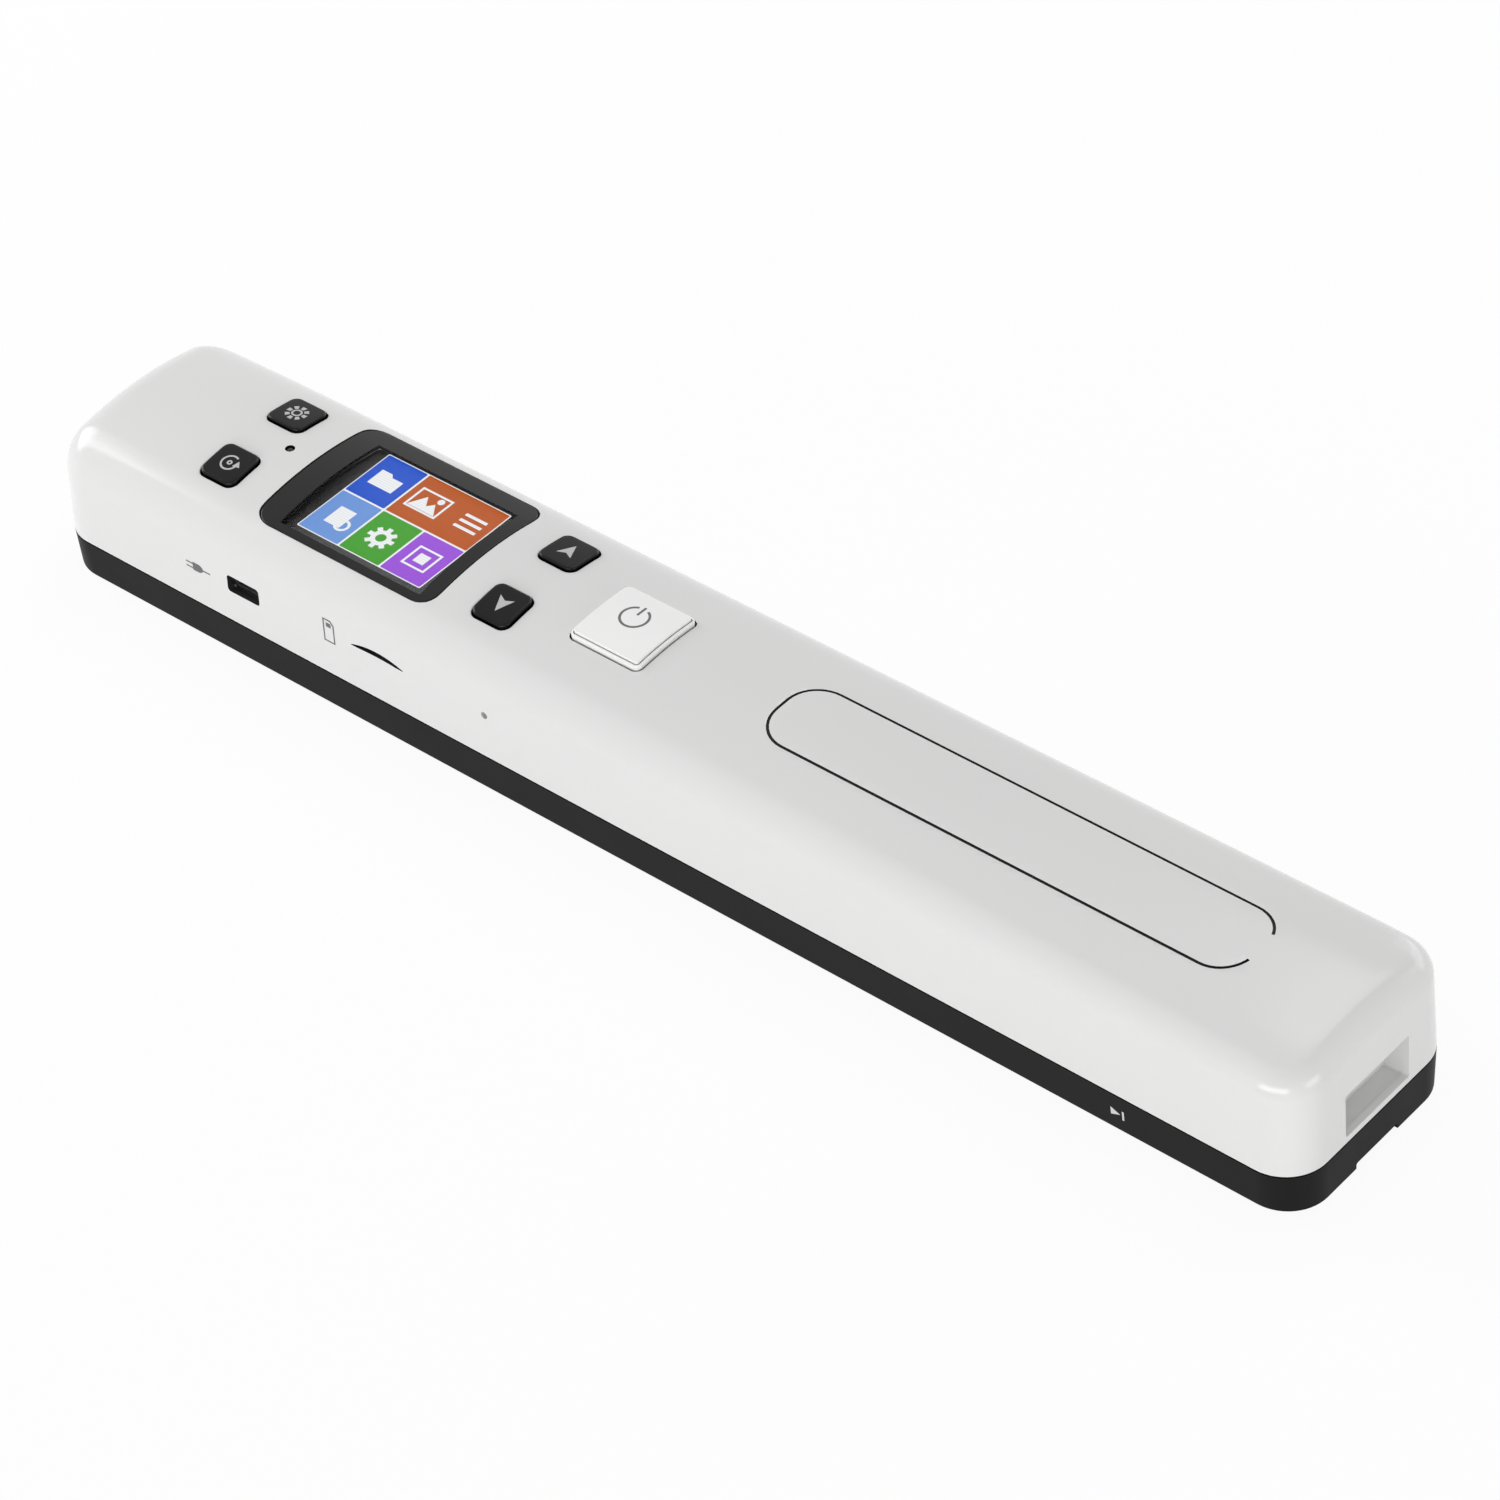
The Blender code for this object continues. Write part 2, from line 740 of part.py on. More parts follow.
def make_tray(look):
    rings = []

    def ring(inset_x, inset_y, z, radius):
        half_x = body_length / 2 - inset_x
        half_y = body_width / 2 - inset_y
        points = rounded_outline(half_x, half_y, radius, turn_steps=corner_steps)
        rings.append(at_height(points, z))

    for i in range(tray_round_steps + 1):
        turn = math.pi / 2 * i / tray_round_steps
        inset = tray_edge_round * (1 - math.sin(turn))
        rise = tray_edge_round * (1 - math.cos(turn))
        ring(inset, tray_taper + inset, tray_bottom + rise, tray_plan_radius - inset)
    ring(0, 0, tray_rim, plan_radius)
    for inset, heights in ((lip_inset, (tray_rim, lip_top)), (tray_inset, (lip_top, tray_floor))):
        for z in heights:
            ring(inset, inset, z, plan_radius - inset)
    tray = place("base_tray", ring_shape(rings)[0], look)

    sunk = tray_floor - tray_wall / 2
    inner_x = body_length / 2 - tray_inset + lip_thickness / 2
    hump_half = channel_width / 2 + tray_wall
    solids = [box("hump", (-inner_x, inner_x), (-hump_half, hump_half), (sunk, hump_top))]
    post_y = around(roller_y, 2 * post_half_width)
    solids.append(box("post", (-post_high, -post_low), post_y, (sunk, encoder_z + post_half_width)))
    outside = body_length / 2 + overrun
    low = tray_bottom - overrun
    holes = [box("channel", (-outside, outside), around(0, channel_width), (low, channel_top))]
    window_x = around(0, glass_length + 2 * clearance)
    window_y = around(0, glass_width + 2 * clearance)
    holes.append(box("window", window_x, window_y, (low, hump_top + overrun)))
    bore = pin_radius + clearance
    holes.append(rod("bore", bore, -post_high - overrun, -post_low + overrun, "X", (0, roller_y, encoder_z)))
    for side in (-1, 1):
        for end in (-1, 1):
            x = end * (bush_low + bush_length / 2)
            y = around(side * roller_y, 2 * saddle_half_width)
            z = (sunk, tyre_radius + bush_radius + saddle_top_gap)
            solids.append(box("saddle", around(x, saddle_length), y, z))
            spot = (end * case_screw_x, side * case_screw_y, 0)
            solids.append(rod("boss", case_boss_radius, sunk, case_boss_top, "Z", spot, steps=round_steps))
            solids += bar_hook_tools(side, end * hook_place)
            holes.append(screw_room(spot))
            holes += roller_room(side, end)
    inner = wall_halves(seam_height + pocket_lift, 0)[0] - pocket_depth - pocket_wall - clearance
    room_y = around(0, pocket_width + 2 * pocket_wall + 2 * clearance)
    room_x = (inner, body_length / 2 - cover_wall - clearance / 2)
    holes.append(box("pocket_room", room_x, room_y, (tray_rim, lip_top + overrun)))
    join(tray, *solids)
    cut(tray, *holes)


def screw_room(at):
    """Counterbore for a case screw's head with the bore for its shank above it."""
    head = case_head_radius + clearance
    shank = case_screw_radius + clearance
    low = tray_bottom - overrun
    middle = tray_bottom + case_head_sink + case_head_height + clearance
    profile = [(0, low), (head, low), (head, middle), (shank, middle)]
    return turned("screw_room", profile + [(shank, body_height), (0, body_height)], "Z", at)


def bar_hook_tools(side, x):
    """A post beside the sensor bar with a nose that reaches over its top edge."""
    inner = bar_width / 2 + clearance
    along = around(x, hook_length)
    nose_low = bar_top + clearance
    nose_high = nose_low + hook_tip_height
    sunk = tray_floor - tray_wall / 2
    yield box("hook", along, mirrored_span(side, inner, inner + hook_thickness), (sunk, nose_high))
    nose = mirrored_span(side, bar_width / 2 - hook_reach, inner + hook_thickness / 2)
    yield box("nose", along, nose, (nose_low, nose_high))


def roller_room(side, end):
    """Window for a tyre, and on the geared corner for the gear too, with the bush's seat."""
    geared = side > 0 > end
    inner = tyre_span / 2 - tyre_width / 2 - roller_window_gap
    outer = (gear_high if geared else tyre_span / 2 + tyre_width / 2) + roller_window_gap
    y = around(side * roller_y, 2 * (tyre_radius + roller_window_gap))
    yield box("window", mirrored_span(end, inner, outer), y, (tray_bottom - overrun, tray_floor + overrun))
    x = end * (bush_low + bush_length / 2)
    reach = saddle_length / 2 + overrun / 2
    spot = (x, side * roller_y, tyre_radius)
    yield rod("seat", bush_radius + clearance, -reach, reach, "X", spot, steps=round_steps)
    top = tyre_radius + bush_radius + saddle_top_gap + overrun
    yield box("mouth", around(x, 2 * reach), around(side * roller_y, saddle_mouth), (tyre_radius, top))


def make_sensor_bar(look, black, clear, lens_look, green, white):
    glass_y = around(0, glass_width)
    box("window_glass", around(0, glass_length), glass_y, (channel_top, channel_top + glass_thickness), clear)
    bar = box("sensor_housing", around(0, bar_length), around(0, bar_width), (bar_bottom, bar_top), black)
    board_low = bar_top - sensor_board_depth - sensor_board_thickness
    recess_low = board_low - clearance
    recess_x = around(0, sensor_board_length + 2 * clearance)
    recess_y = around(0, sensor_board_width + 2 * clearance)
    cut(bar, box("recess", recess_x, recess_y, (recess_low, bar_top + overrun)))
    lens_x = around(0, lens_length + 2 * clearance)
    lens_y = around(0, lens_width + 2 * clearance)
    cut(bar, box("lens_slot", lens_x, lens_y, (bar_bottom - overrun, recess_low + overrun)))
    guide_y = around(guide_offset, 2 * (guide_radius + clearance))
    guide_high = bar_bottom + 2 * (guide_radius + clearance)
    cut(bar, box("guide_slot", lens_x, guide_y, (bar_bottom - overrun, guide_high)))

    board_y = around(0, sensor_board_width)
    board_z = (board_low, board_low + sensor_board_thickness)
    box("sensor_board", around(0, sensor_board_length), board_y, board_z, green)
    lens_low = recess_low - clearance - lens_height
    lens_z = (lens_low, lens_low + lens_height)
    box("rod_lens_array", around(0, lens_length), around(0, lens_width), lens_z, lens_look)
    guide_z = guide_high - clearance - guide_radius
    left = -lens_length / 2 + emitter_length + clearance
    rod("light_guide", guide_radius, left, lens_length / 2, "X", (0, guide_offset, guide_z), clear)
    emitter_x = (-lens_length / 2, -lens_length / 2 + emitter_length)
    emitter_y = around(guide_offset, 2 * guide_radius)
    box("light_source", emitter_x, emitter_y, (guide_z - guide_radius, guide_z + guide_radius), white)


def make_rollers(steel, rubber, bush_look, gear_look):
    for side, word in ((-1, "front"), (1, "rear")):
        at = (0, side * roller_y, tyre_radius)
        geared = side > 0
        profile = [(0, -axle_half), (axle_radius, -axle_half)]
        for middle in (-tyre_span / 2, tyre_span / 2):
            low = middle - tyre_width / 2
            high = middle + tyre_width / 2
            profile += [(axle_radius, low), (hub_radius, low), (hub_radius, high), (axle_radius, high)]
        profile += [(axle_radius, axle_half), (0, axle_half)]
        turned(word + "_axle", profile, "X", at, steel, small_round_steps)
        for end, name in ((-1, "left"), (1, "right")):
            make_tyre(f"{word}_tyre_{name}", end * tyre_span / 2, at, rubber)
            make_bush(f"{word}_bush_{name}", end, at, bush_look)
        if geared:
            make_gear("roller_gear", roller_gear_teeth, math.pi / 2, -gear_high, -gear_low, at, gear_look)


def make_tyre(name, middle, at, look):
    low = -tyre_width / 2
    high = tyre_width / 2
    bore = hub_radius + clearance
    eased = tyre_radius - tyre_edge_round
    profile = [(bore, low), (eased, low), (tyre_radius, low + tyre_edge_round)]
    profile += [(tyre_radius, high - tyre_edge_round), (eased, high), (bore, high)]
    tyre = turned(name, [(radius, middle + along) for radius, along in profile], "X", at, look)
    return tyre


def make_bush(name, end, at, look):
    """A short cup that the axle's end turns in."""
    bore = axle_radius + clearance
    floor = bush_high - bush_end_wall
    profile = [(bore, bush_low), (bush_radius, bush_low), (bush_radius, bush_high), (0, bush_high)]
    profile = [(0, floor), (bore, floor)] + profile
    turned(name, [(radius, end * along) for radius, along in profile], "X", at, look)


def gear_outline(teeth, first_tooth):
    """Involute teeth of 20 degrees pressure angle, thinned a little for running play."""
    pitch = gear_module * teeth / 2
    base = pitch * math.cos(math.radians(20))
    tip = pitch + gear_module * tooth_height_share
    root = pitch - gear_module * 5 / 4

    def involute(angle):
        return math.tan(angle) - angle

    def half_angle(radius):
        half = math.pi / (2 * teeth) * tooth_thickness_share + involute(math.radians(20))
        return half - involute(math.acos(min(1, base / radius)))

    flank = [root] + [max(base, root) + (tip - max(base, root)) * i / 3 for i in range(4)]
    points = []
    for tooth in range(teeth):
        middle = first_tooth + 2 * math.pi * tooth / teeth
        turns = [(radius, middle - half_angle(max(radius, base))) for radius in flank]
        turns += [(radius, middle + half_angle(max(radius, base))) for radius in flank[::-1]]
        points += [(radius * math.cos(turn), radius * math.sin(turn)) for radius, turn in turns]
    return points


def make_gear(name, teeth, first_tooth, low, high, at, look):
    gear = prism(name, gear_outline(teeth, first_tooth), low, high, "X", at, look)
    cut(gear, rod("bore", axle_radius + clearance, low - overrun, high + overrun, "X", at))
    return gear


def make_encoder(gear_look, steel, black):
    at = (0, roller_y, encoder_z)
    first_tooth = -math.pi / 2 + math.pi / encoder_gear_teeth
    teeth = gear_outline(encoder_gear_teeth, first_tooth)
    wheel = prism("encoder_wheel", teeth, -gear_high, -gear_low, "X", at, gear_look)
    hub_low = -disc_low - encoder_disc_thickness / 2
    hub_high = -gear_high + gear_width / 2
    join(wheel, rod("hub", encoder_hub_radius, hub_low, hub_high, "X", at))
    vanes = []
    for i in range(4 * encoder_vanes):
        radius = encoder_disc_radius - (encoder_vane_depth if i % 4 > 1 else 0)
        turn = 2 * math.pi * i / (4 * encoder_vanes)
        vanes.append((radius * math.cos(turn), radius * math.sin(turn)))
    join(wheel, prism("disc", vanes, -disc_high, -disc_low, "X", at))
    bore = pin_radius + clearance
    cut(wheel, rod("bore", bore, -disc_high - overrun, -gear_low + overrun, "X", at))
    head_low = clearance - gear_low
    profile = [(0, -post_high), (pin_radius, -post_high), (pin_radius, head_low)]
    profile += [(pin_head_radius, head_low), (pin_head_radius, head_low + pin_head_length)]
    turned("encoder_pin", profile + [(0, head_low + pin_head_length)], "X", at, steel, small_round_steps)

    middle = -(disc_low + disc_high) / 2
    room = encoder_disc_thickness + 2 * clearance
    span = around(middle, room + 2 * interrupter_arm)
    disc_top = encoder_z + encoder_disc_radius
    y = around(roller_y, interrupter_width)
    low = disc_top - interrupter_overlap
    sensor = box("photo_interrupter", span, y, (low, hang_height), black)
    slot_y = around(roller_y, interrupter_width + overrun)
    slot_z = (low - overrun, min(disc_top + overrun, hang_height - interrupter_root / 2))
    cut(sensor, box("slot", around(middle, room), slot_y, slot_z))


def make_board(look):
    half_y = wall_halves(board_top, cover_wall)[1] - board_side_gap
    board = box("main_board", (board_left, board_right), (-half_y, half_y), (board_bottom, board_top), look)
    chips = (
        (display_x, half_y / 3, panel_length / 3, panel_length / 3),
        (key_right_x, half_y / 2, key_size, key_size),
        (key_right_x + key_size * 3 / 2, half_y / 2, key_size / 2, key_size),
    )
    for x, y, length, width in chips:
        z = (board_bottom - chip_height, board_bottom + chip_sink)
        join(board, box("chip", around(x, length), around(y, width), z))
    for x in (board_screw_left, board_screw_right):
        bore = board_screw_radius + clearance
        cut(board, rod("bore", bore, board_bottom - overrun, board_top + overrun, "Z", (x, 0, 0)))


def make_display(glass, screen, holder_look):
    lens_half_x = window_length / 2 - clearance
    lens_half_y = window_width / 2 - clearance
    corner = window_corner - clearance
    back = lens_back()
    points = rounded_outline(lens_half_x, lens_half_y, corner)
    lens = prism("display_window", points, back, body_height + overrun, "Z", (display_x, 0, 0), glass)
    combine(lens, [skin("outside", 0, cover_rim)], "INTERSECT")

    top = back - clearance
    panel_z = (top - panel_thickness, top)
    box("lcd_panel", around(display_x, panel_length), around(0, panel_width), panel_z, screen)
    holder = prism("display_holder", points, stand_height, top, "Z", (display_x, 0, 0), holder_look)
    pocket_x = around(display_x, panel_length + 2 * clearance)
    pocket_y = around(0, panel_width + 2 * clearance)
    pocket_low = panel_z[0] - clearance
    cut(holder, box("pocket", pocket_x, pocket_y, (pocket_low, top + overrun)))
    hollow_x = around(display_x, 2 * (lens_half_x - holder_wall - corner / 2))
    hollow_y = around(0, 2 * (lens_half_y - holder_wall - corner / 2))
    cut(holder, box("hollow", hollow_x, hollow_y, (stand_height - overrun, pocket_low - holder_plate)))


def lens_back():
    return surface_height(display_x, window_width / 2 - clearance, 0) - lens_edge_thickness


def key_places():
    far = key_row_width / 2
    return {
        "key_back": (key_left_x, -far),
        "key_menu": (key_left_x, far),
        "key_down": (key_right_x, -far),
        "key_up": (key_right_x, far),
    }


def make_key(name, x, y, cap, look):
    """A cap through the cover with a flange under it and a stem down to its switch."""
    size, corner, proud, edge = cap
    half = size / 2
    reach = half + flange_reach
    under = min(surface_height(x + dx, abs(y) + reach, cover_wall) for dx in (-reach, reach))
    flange_top = under - clearance
    flange_low = flange_top - flange_thickness
    stem_low = plunger_top + clearance

    def level(half_size, radius, z):
        return at_height(rounded_outline(half_size, half_size, radius, 2, 2), z)

    def crowned(half_size, radius, rise):
        points = rounded_outline(half_size, half_size, radius, 2, 2)
        return [(u, v, crown_height(x + u, y + v) + rise - stem_low) for u, v in points]

    low = flange_low - stem_low
    high = flange_top - stem_low
    rings = [level(stem_radius, stem_radius, 0), level(stem_radius, stem_radius, low)]
    rings += [level(reach, corner, low), level(reach, corner, high), level(half, corner, high)]
    for i in range(key_edge_steps + 1):
        turn = math.pi / 2 * i / key_edge_steps
        inset = edge * (1 - math.cos(turn))
        rings.append(crowned(half - inset, corner - inset, proud - edge * (1 - math.sin(turn))))
    place(name, ring_shape(rings)[0], look, (x, y, stem_low))


def make_switch(name, x, y, body_look, plunger_look):
    """A tact switch standing on the board, with its plunger raised."""
    high = stand_height + switch_height
    body_z = (stand_height, high)
    body = box("switch_" + name, around(x, switch_size), around(y, switch_size), body_z, body_look)
    low = high - plunger_sink - key_travel_room
    bore = plunger_radius + clearance
    cut(body, rod("bore", bore, low - clearance, high + overrun, "Z", (x, y, 0)))
    reach = high - plunger_sink - plunger_top
    rod("plunger_" + name, plunger_radius, reach, 0, "Z", (x, y, plunger_top), plunger_look)


def make_status_light(clear, white):
    z = (stand_height, stand_height + emitter_chip_height)
    box("status_led", around(light_x, emitter_chip_length), around(light_y, emitter_chip_width), z, white)
    low = z[1] + clearance
    ceiling = surface_height(light_x, light_y, cover_wall) - clearance
    top = surface_height(light_x, light_y, 0) - light_recess
    flange_low = ceiling - light_flange_thickness
    profile = [(0, low), (light_pipe_radius, low), (light_pipe_radius, flange_low)]
    profile += [(light_flange_radius, flange_low), (light_flange_radius, ceiling)]
    profile += [(light_pipe_radius, ceiling), (light_pipe_radius, top), (0, top)]
    turned("status_light_pipe", profile, "Z", (light_x, light_y, 0), clear, small_round_steps)


def usb_middle():
    return hang_height - usb_height / 2


def card_middle():
    return hang_height - card_socket_height / 2


def reset_middle():
    return hang_height - reset_switch_height / 2


def socket_front(z):
    return -wall_halves(z, cover_wall)[1] + clearance


def make_ports(steel, black):
    front = socket_front(hang_height - usb_height)
    usb_y = (front, front + usb_depth)
    usb = box("usb_socket", around(usb_x, usb_width), usb_y, (hang_height - usb_height, hang_height), steel)
    mouth_y = (front - overrun, front + usb_mouth_depth)
    middle = usb_middle()
    cut(usb, box("mouth", around(usb_x, usb_mouth_width), mouth_y, around(middle, usb_mouth_height)))
    tongue_z = around(middle + usb_mouth_height / 8, usb_mouth_height / 4)
    tongue_y = (front + usb_mouth_depth / 5, front + usb_mouth_depth + clearance)
    join(usb, box("tongue", around(usb_x, usb_mouth_width * 3 / 5), tongue_y, tongue_z))

    low = hang_height - card_socket_height
    front = socket_front(low)
    card_y = (front, front + card_socket_depth)
    card = box("card_socket", around(card_x, card_socket_width), card_y, (low, hang_height), steel)
    slot_y = (front - overrun, front + card_slot_depth)
    cut(card, box("slot", around(card_x, card_slot_width), slot_y, around(card_middle(), card_slot_height)))

    low = hang_height - reset_switch_height
    front = socket_front(low) + reset_plunger_radius
    switch_y = (front, front + reset_switch_depth)
    switch = box("reset_switch", around(reset_x, reset_switch_width), switch_y, (low, hang_height), black)
    spot = (reset_x, 0, reset_middle())
    bore_back = front + reset_plunger_sink + key_travel_room + clearance
    cut(switch, rod("bore", reset_plunger_radius + clearance, front - overrun, bore_back, "Y", spot))
    tip = socket_front(low)
    length = front + reset_plunger_sink - tip
    rod("reset_plunger", reset_plunger_radius, 0, length, "Y", (reset_x, tip, reset_middle()), black)


def make_battery(wrap, red, black, white):
    top = battery_top()
    shape = box_shape((battery_left, battery_right), around(0, battery_width), (top - battery_thickness, top))
    along = [edge for edge in shape.edges if edge.calc_length() > battery_width]
    bmesh.ops.bevel(shape, geom=along, offset=battery_round, segments=3, affect="EDGES", profile=0.5)
    place("battery", shape, wrap)
    plug_high = board_right - plug_board_inset
    plug_z = (stand_height, stand_height + plug_height)
    box("battery_plug", (plug_high - plug_length, plug_high), around(0, plug_width), plug_z, white)
    start_z = stand_height + plug_height / 2
    end_z = top - battery_thickness / 2
    for side, name, look in ((-1, "red", red), (1, "black", black)):
        start = (plug_high + clearance, side * lead_spread, start_z)
        end = (battery_left - clearance, side * lead_battery_spread, end_z)
        make_lead("battery_lead_" + name, start, end, look)


def make_lead(name, start, end, look):
    """A round wire that eases from one place to the other with a little sag."""
    path = bpy.data.curves.new(name, "CURVE")
    path.dimensions = "3D"
    path.bevel_depth = lead_radius
    path.bevel_resolution = 2
    path.use_fill_caps = True
    wire = path.splines.new("POLY")
    wire.points.add(lead_points - 1)
    for i, point in enumerate(wire.points):
        share = i / (lead_points - 1)
        eased = share * share * (3 - 2 * share)
        x = start[0] + (end[0] - start[0]) * share
        y = start[1] + (end[1] - start[1]) * eased
        z = start[2] + (end[2] - start[2]) * eased - lead_sag * math.sin(math.pi * share) ** 2
        point.co = (x, y, z, 1)
    path.materials.append(look)
    bpy.context.scene.collection.objects.link(bpy.data.objects.new(name, path))


def make_ribbon(look, black):
    """The flat cable leaves the sensor board, turns back over itself and enters its socket."""
    socket_z = (hang_height - ribbon_socket_height, hang_height)
    socket_y = around(0, ribbon_socket_width)
    box("ribbon_socket", around(ribbon_socket_x, ribbon_socket_length), socket_y, socket_z, black)
    low = bar_top - sensor_board_depth + clearance + ribbon_thickness / 2
    high = hang_height - ribbon_socket_height / 2
    radius = (high - low) / 2
    middle = (low + high) / 2
    end = ribbon_socket_x + ribbon_socket_length / 2 + clearance
    path = [(ribbon_start, low)]
    for i in range(ribbon_turn_steps + 1):
        turn = -math.pi / 2 + math.pi * i / ribbon_turn_steps
        path.append((ribbon_turn + radius * math.cos(turn), middle + radius * math.sin(turn)))
    path.append((end, high))
    half = ribbon_thickness / 2
    sides = [[], []]
    for i, (x, z) in enumerate(path):
        before = path[max(i - 1, 0)]
        after = path[min(i + 1, len(path) - 1)]
        run = math.hypot(after[0] - before[0], after[1] - before[1])
        nx = (before[1] - after[1]) / run * half
        nz = (after[0] - before[0]) / run * half
        sides[0].append((x + nx, z + nz))
        sides[1].append((x - nx, z - nz))
    outline = sides[0] + sides[1][::-1]
    prism("ribbon_cable", outline, -ribbon_width / 2, ribbon_width / 2, "Y", (0, 0, 0), look)


def case_screw_top():
    return tray_bottom + case_head_sink + case_screw_length


def make_screw(name, radius, length, head, at, look):
    """A pan head facing down with a cross recess, and a plain shank going up."""
    head_radius, head_height = head
    profile = [(0, 0), (head_radius - head_height / 3, 0), (head_radius, head_height / 3)]
    profile += [(head_radius, head_height), (radius, head_height), (radius, length), (0, length)]
    screw = turned(name, profile, "Z", at, look, small_round_steps)
    x, y, z = at
    half = head_radius * 3 / 5
    depth = (z - overrun, z + screw_slot_depth)
    recess = box("recess", around(x, 2 * half), around(y, screw_slot_width), depth)
    join(recess, box("bar", around(x, screw_slot_width), around(y, 2 * half), depth))
    cut(screw, recess)


def make_screws(steel):
    names = {(-1, -1): "near_left", (1, -1): "near_right", (-1, 1): "far_left", (1, 1): "far_right"}
    for (end, side), name in names.items():
        at = (end * case_screw_x, side * case_screw_y, tray_bottom + case_head_sink)
        head = (case_head_radius, case_head_height)
        make_screw("case_screw_" + name, case_screw_radius, case_screw_length, head, at, steel)
    for x, name in ((board_screw_left, "left"), (board_screw_right, "right")):
        at = (x, 0, hang_height - board_head_height)
        head = (board_head_radius, board_head_height)
        make_screw("board_screw_" + name, board_screw_radius, board_screw_length, head, at, steel)


def main():
    for thing in list(bpy.data.objects):
        bpy.data.objects.remove(thing)
    shell = finish("gloss white ABS", "e4e4e4", 0.22)
    black = finish("satin black ABS", "2f2f31", 0.4)
    key_black = finish("gloss black key plastic", "1b1b1d", 0.25)
    key_white = finish("gloss white key plastic", "f1f1f1", 0.2)
    glass = finish("dark display acrylic", "1a1b1d", 0.05)
    screen = finish("display panel", "3e6fb4", 0.3)
    clear = finish("clear glass", "c9d6d2", 0.04)
    rods = finish("rod lens resin", "3a3f44", 0.3)
    green = finish("green solder mask", "1f5a36", 0.35)
    steel = finish("bright steel", "b9bbbe", 0.3, 1.0)
    rubber = finish("black rubber", "232323", 0.75)
    nylon = finish("natural nylon", "d8d4c6", 0.45)
    white = finish("white plastic", "ececea", 0.4)
    wrap = finish("blue cell wrap", "2d4f86", 0.35)
    red = finish("red wire", "a5211d", 0.4)
    dark = finish("black wire", "202022", 0.4)

    make_cover(shell)
    make_tray(black)
    make_sensor_bar(clear, black, clear, rods, green, white)
    make_rollers(steel, rubber, nylon, nylon)
    make_encoder(nylon, steel, black)
    make_board(green)
    make_display(glass, screen, white)
    for name, (x, y) in key_places().items():
        make_key(name, x, y, (key_size, key_corner, key_proud, key_edge), key_black)
        make_switch(name[4:], x, y, black, white)
    scan_cap = (scan_key_size, scan_key_corner, scan_key_proud, scan_key_edge)
    make_key("scan_key", scan_key_x, 0, scan_cap, key_white)
    make_switch("scan", scan_key_x, 0, black, white)
    make_status_light(clear, white)
    make_ports(steel, black)
    make_battery(wrap, red, dark, white)
    make_ribbon(white, black)
    make_screws(steel)


main()
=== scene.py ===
import math

import bmesh
import bpy
from mathutils import Matrix


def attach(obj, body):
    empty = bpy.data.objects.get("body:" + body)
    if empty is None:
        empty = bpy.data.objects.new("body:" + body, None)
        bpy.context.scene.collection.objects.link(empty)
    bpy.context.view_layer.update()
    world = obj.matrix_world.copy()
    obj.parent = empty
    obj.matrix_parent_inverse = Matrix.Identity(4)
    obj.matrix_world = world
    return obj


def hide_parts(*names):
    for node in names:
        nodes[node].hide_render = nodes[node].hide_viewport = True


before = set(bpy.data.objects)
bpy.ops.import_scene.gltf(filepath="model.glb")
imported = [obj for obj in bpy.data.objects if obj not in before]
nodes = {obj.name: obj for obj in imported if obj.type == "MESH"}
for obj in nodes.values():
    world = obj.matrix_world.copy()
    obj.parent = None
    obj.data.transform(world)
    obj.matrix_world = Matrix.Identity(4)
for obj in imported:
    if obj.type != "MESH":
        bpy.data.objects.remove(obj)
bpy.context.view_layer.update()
scene = bpy.context.scene
print("frame loaded with", len(nodes), "solids")

tiny = 1e-6  # metres, for what counts as the same place

# small helpers for modelling by hand


def clearPick():
    if bpy.context.mode != "OBJECT":
        bpy.ops.object.mode_set(mode="OBJECT")
    bpy.ops.object.select_all(action="DESELECT")


def choose(piece):
    clearPick()
    bpy.context.view_layer.objects.active = piece
    piece.select_set(True)


def settle(piece):  # the place goes into the mesh, as in the solids
    choose(piece)
    bpy.ops.object.transform_apply()
    return piece


def addBlock(name, low, high):
    clearPick()
    middle = [(a + b) / 2 for a, b in zip(low, high)]
    bpy.ops.mesh.primitive_cube_add(size=1, location=middle)
    block = bpy.context.active_object
    block.name = name
    block.scale = [b - a for a, b in zip(low, high)]
    return settle(block)


def addSlab(name, at, reach, low, high):  # reaches equally far to both sides of its place
    (x, y), (reachX, reachY) = at, reach
    return addBlock(name, (x - reachX, y - reachY, low), (x + reachX, y + reachY, high))


def addRod(name, at, radius, low, high, sides=48, axis="Z"):
    clearPick()
    middle = (low + high) / 2
    place = {"X": (middle, *at), "Y": (at[0], middle, at[1]), "Z": (*at, middle)}[axis]
    turn = {"X": (0, math.pi / 2, 0), "Y": (math.pi / 2, 0, 0), "Z": (0, 0, 0)}[axis]
    bpy.ops.mesh.primitive_cylinder_add(
        vertices=sides, radius=radius, depth=high - low, location=place, rotation=turn
    )
    rod = bpy.context.active_object
    rod.name = name
    return settle(rod)


def pick(piece, kind, test=lambda part: True):  # stays in edit mode with what passes the test selected
    choose(piece)
    bpy.ops.object.mode_set(mode="EDIT")
    bpy.ops.mesh.select_mode(type=kind)
    bpy.ops.mesh.select_all(action="DESELECT")
    shape = bmesh.from_edit_mesh(piece.data)
    parts = {"FACE": shape.faces, "EDGE": shape.edges, "VERT": shape.verts}[kind]
    for part in parts:
        part.select = bool(test(part))
    shape.select_flush_mode()
    bmesh.update_edit_mesh(piece.data)


def pickAll(piece):
    choose(piece)
    bpy.ops.object.mode_set(mode="EDIT")
    bpy.ops.mesh.select_all(action="SELECT")


def leaveEdit():
    bpy.ops.object.mode_set(mode="OBJECT")


def raisePicked(height):
    bpy.ops.mesh.extrude_region_move(TRANSFORM_OT_translate={"value": (0, 0, height)})


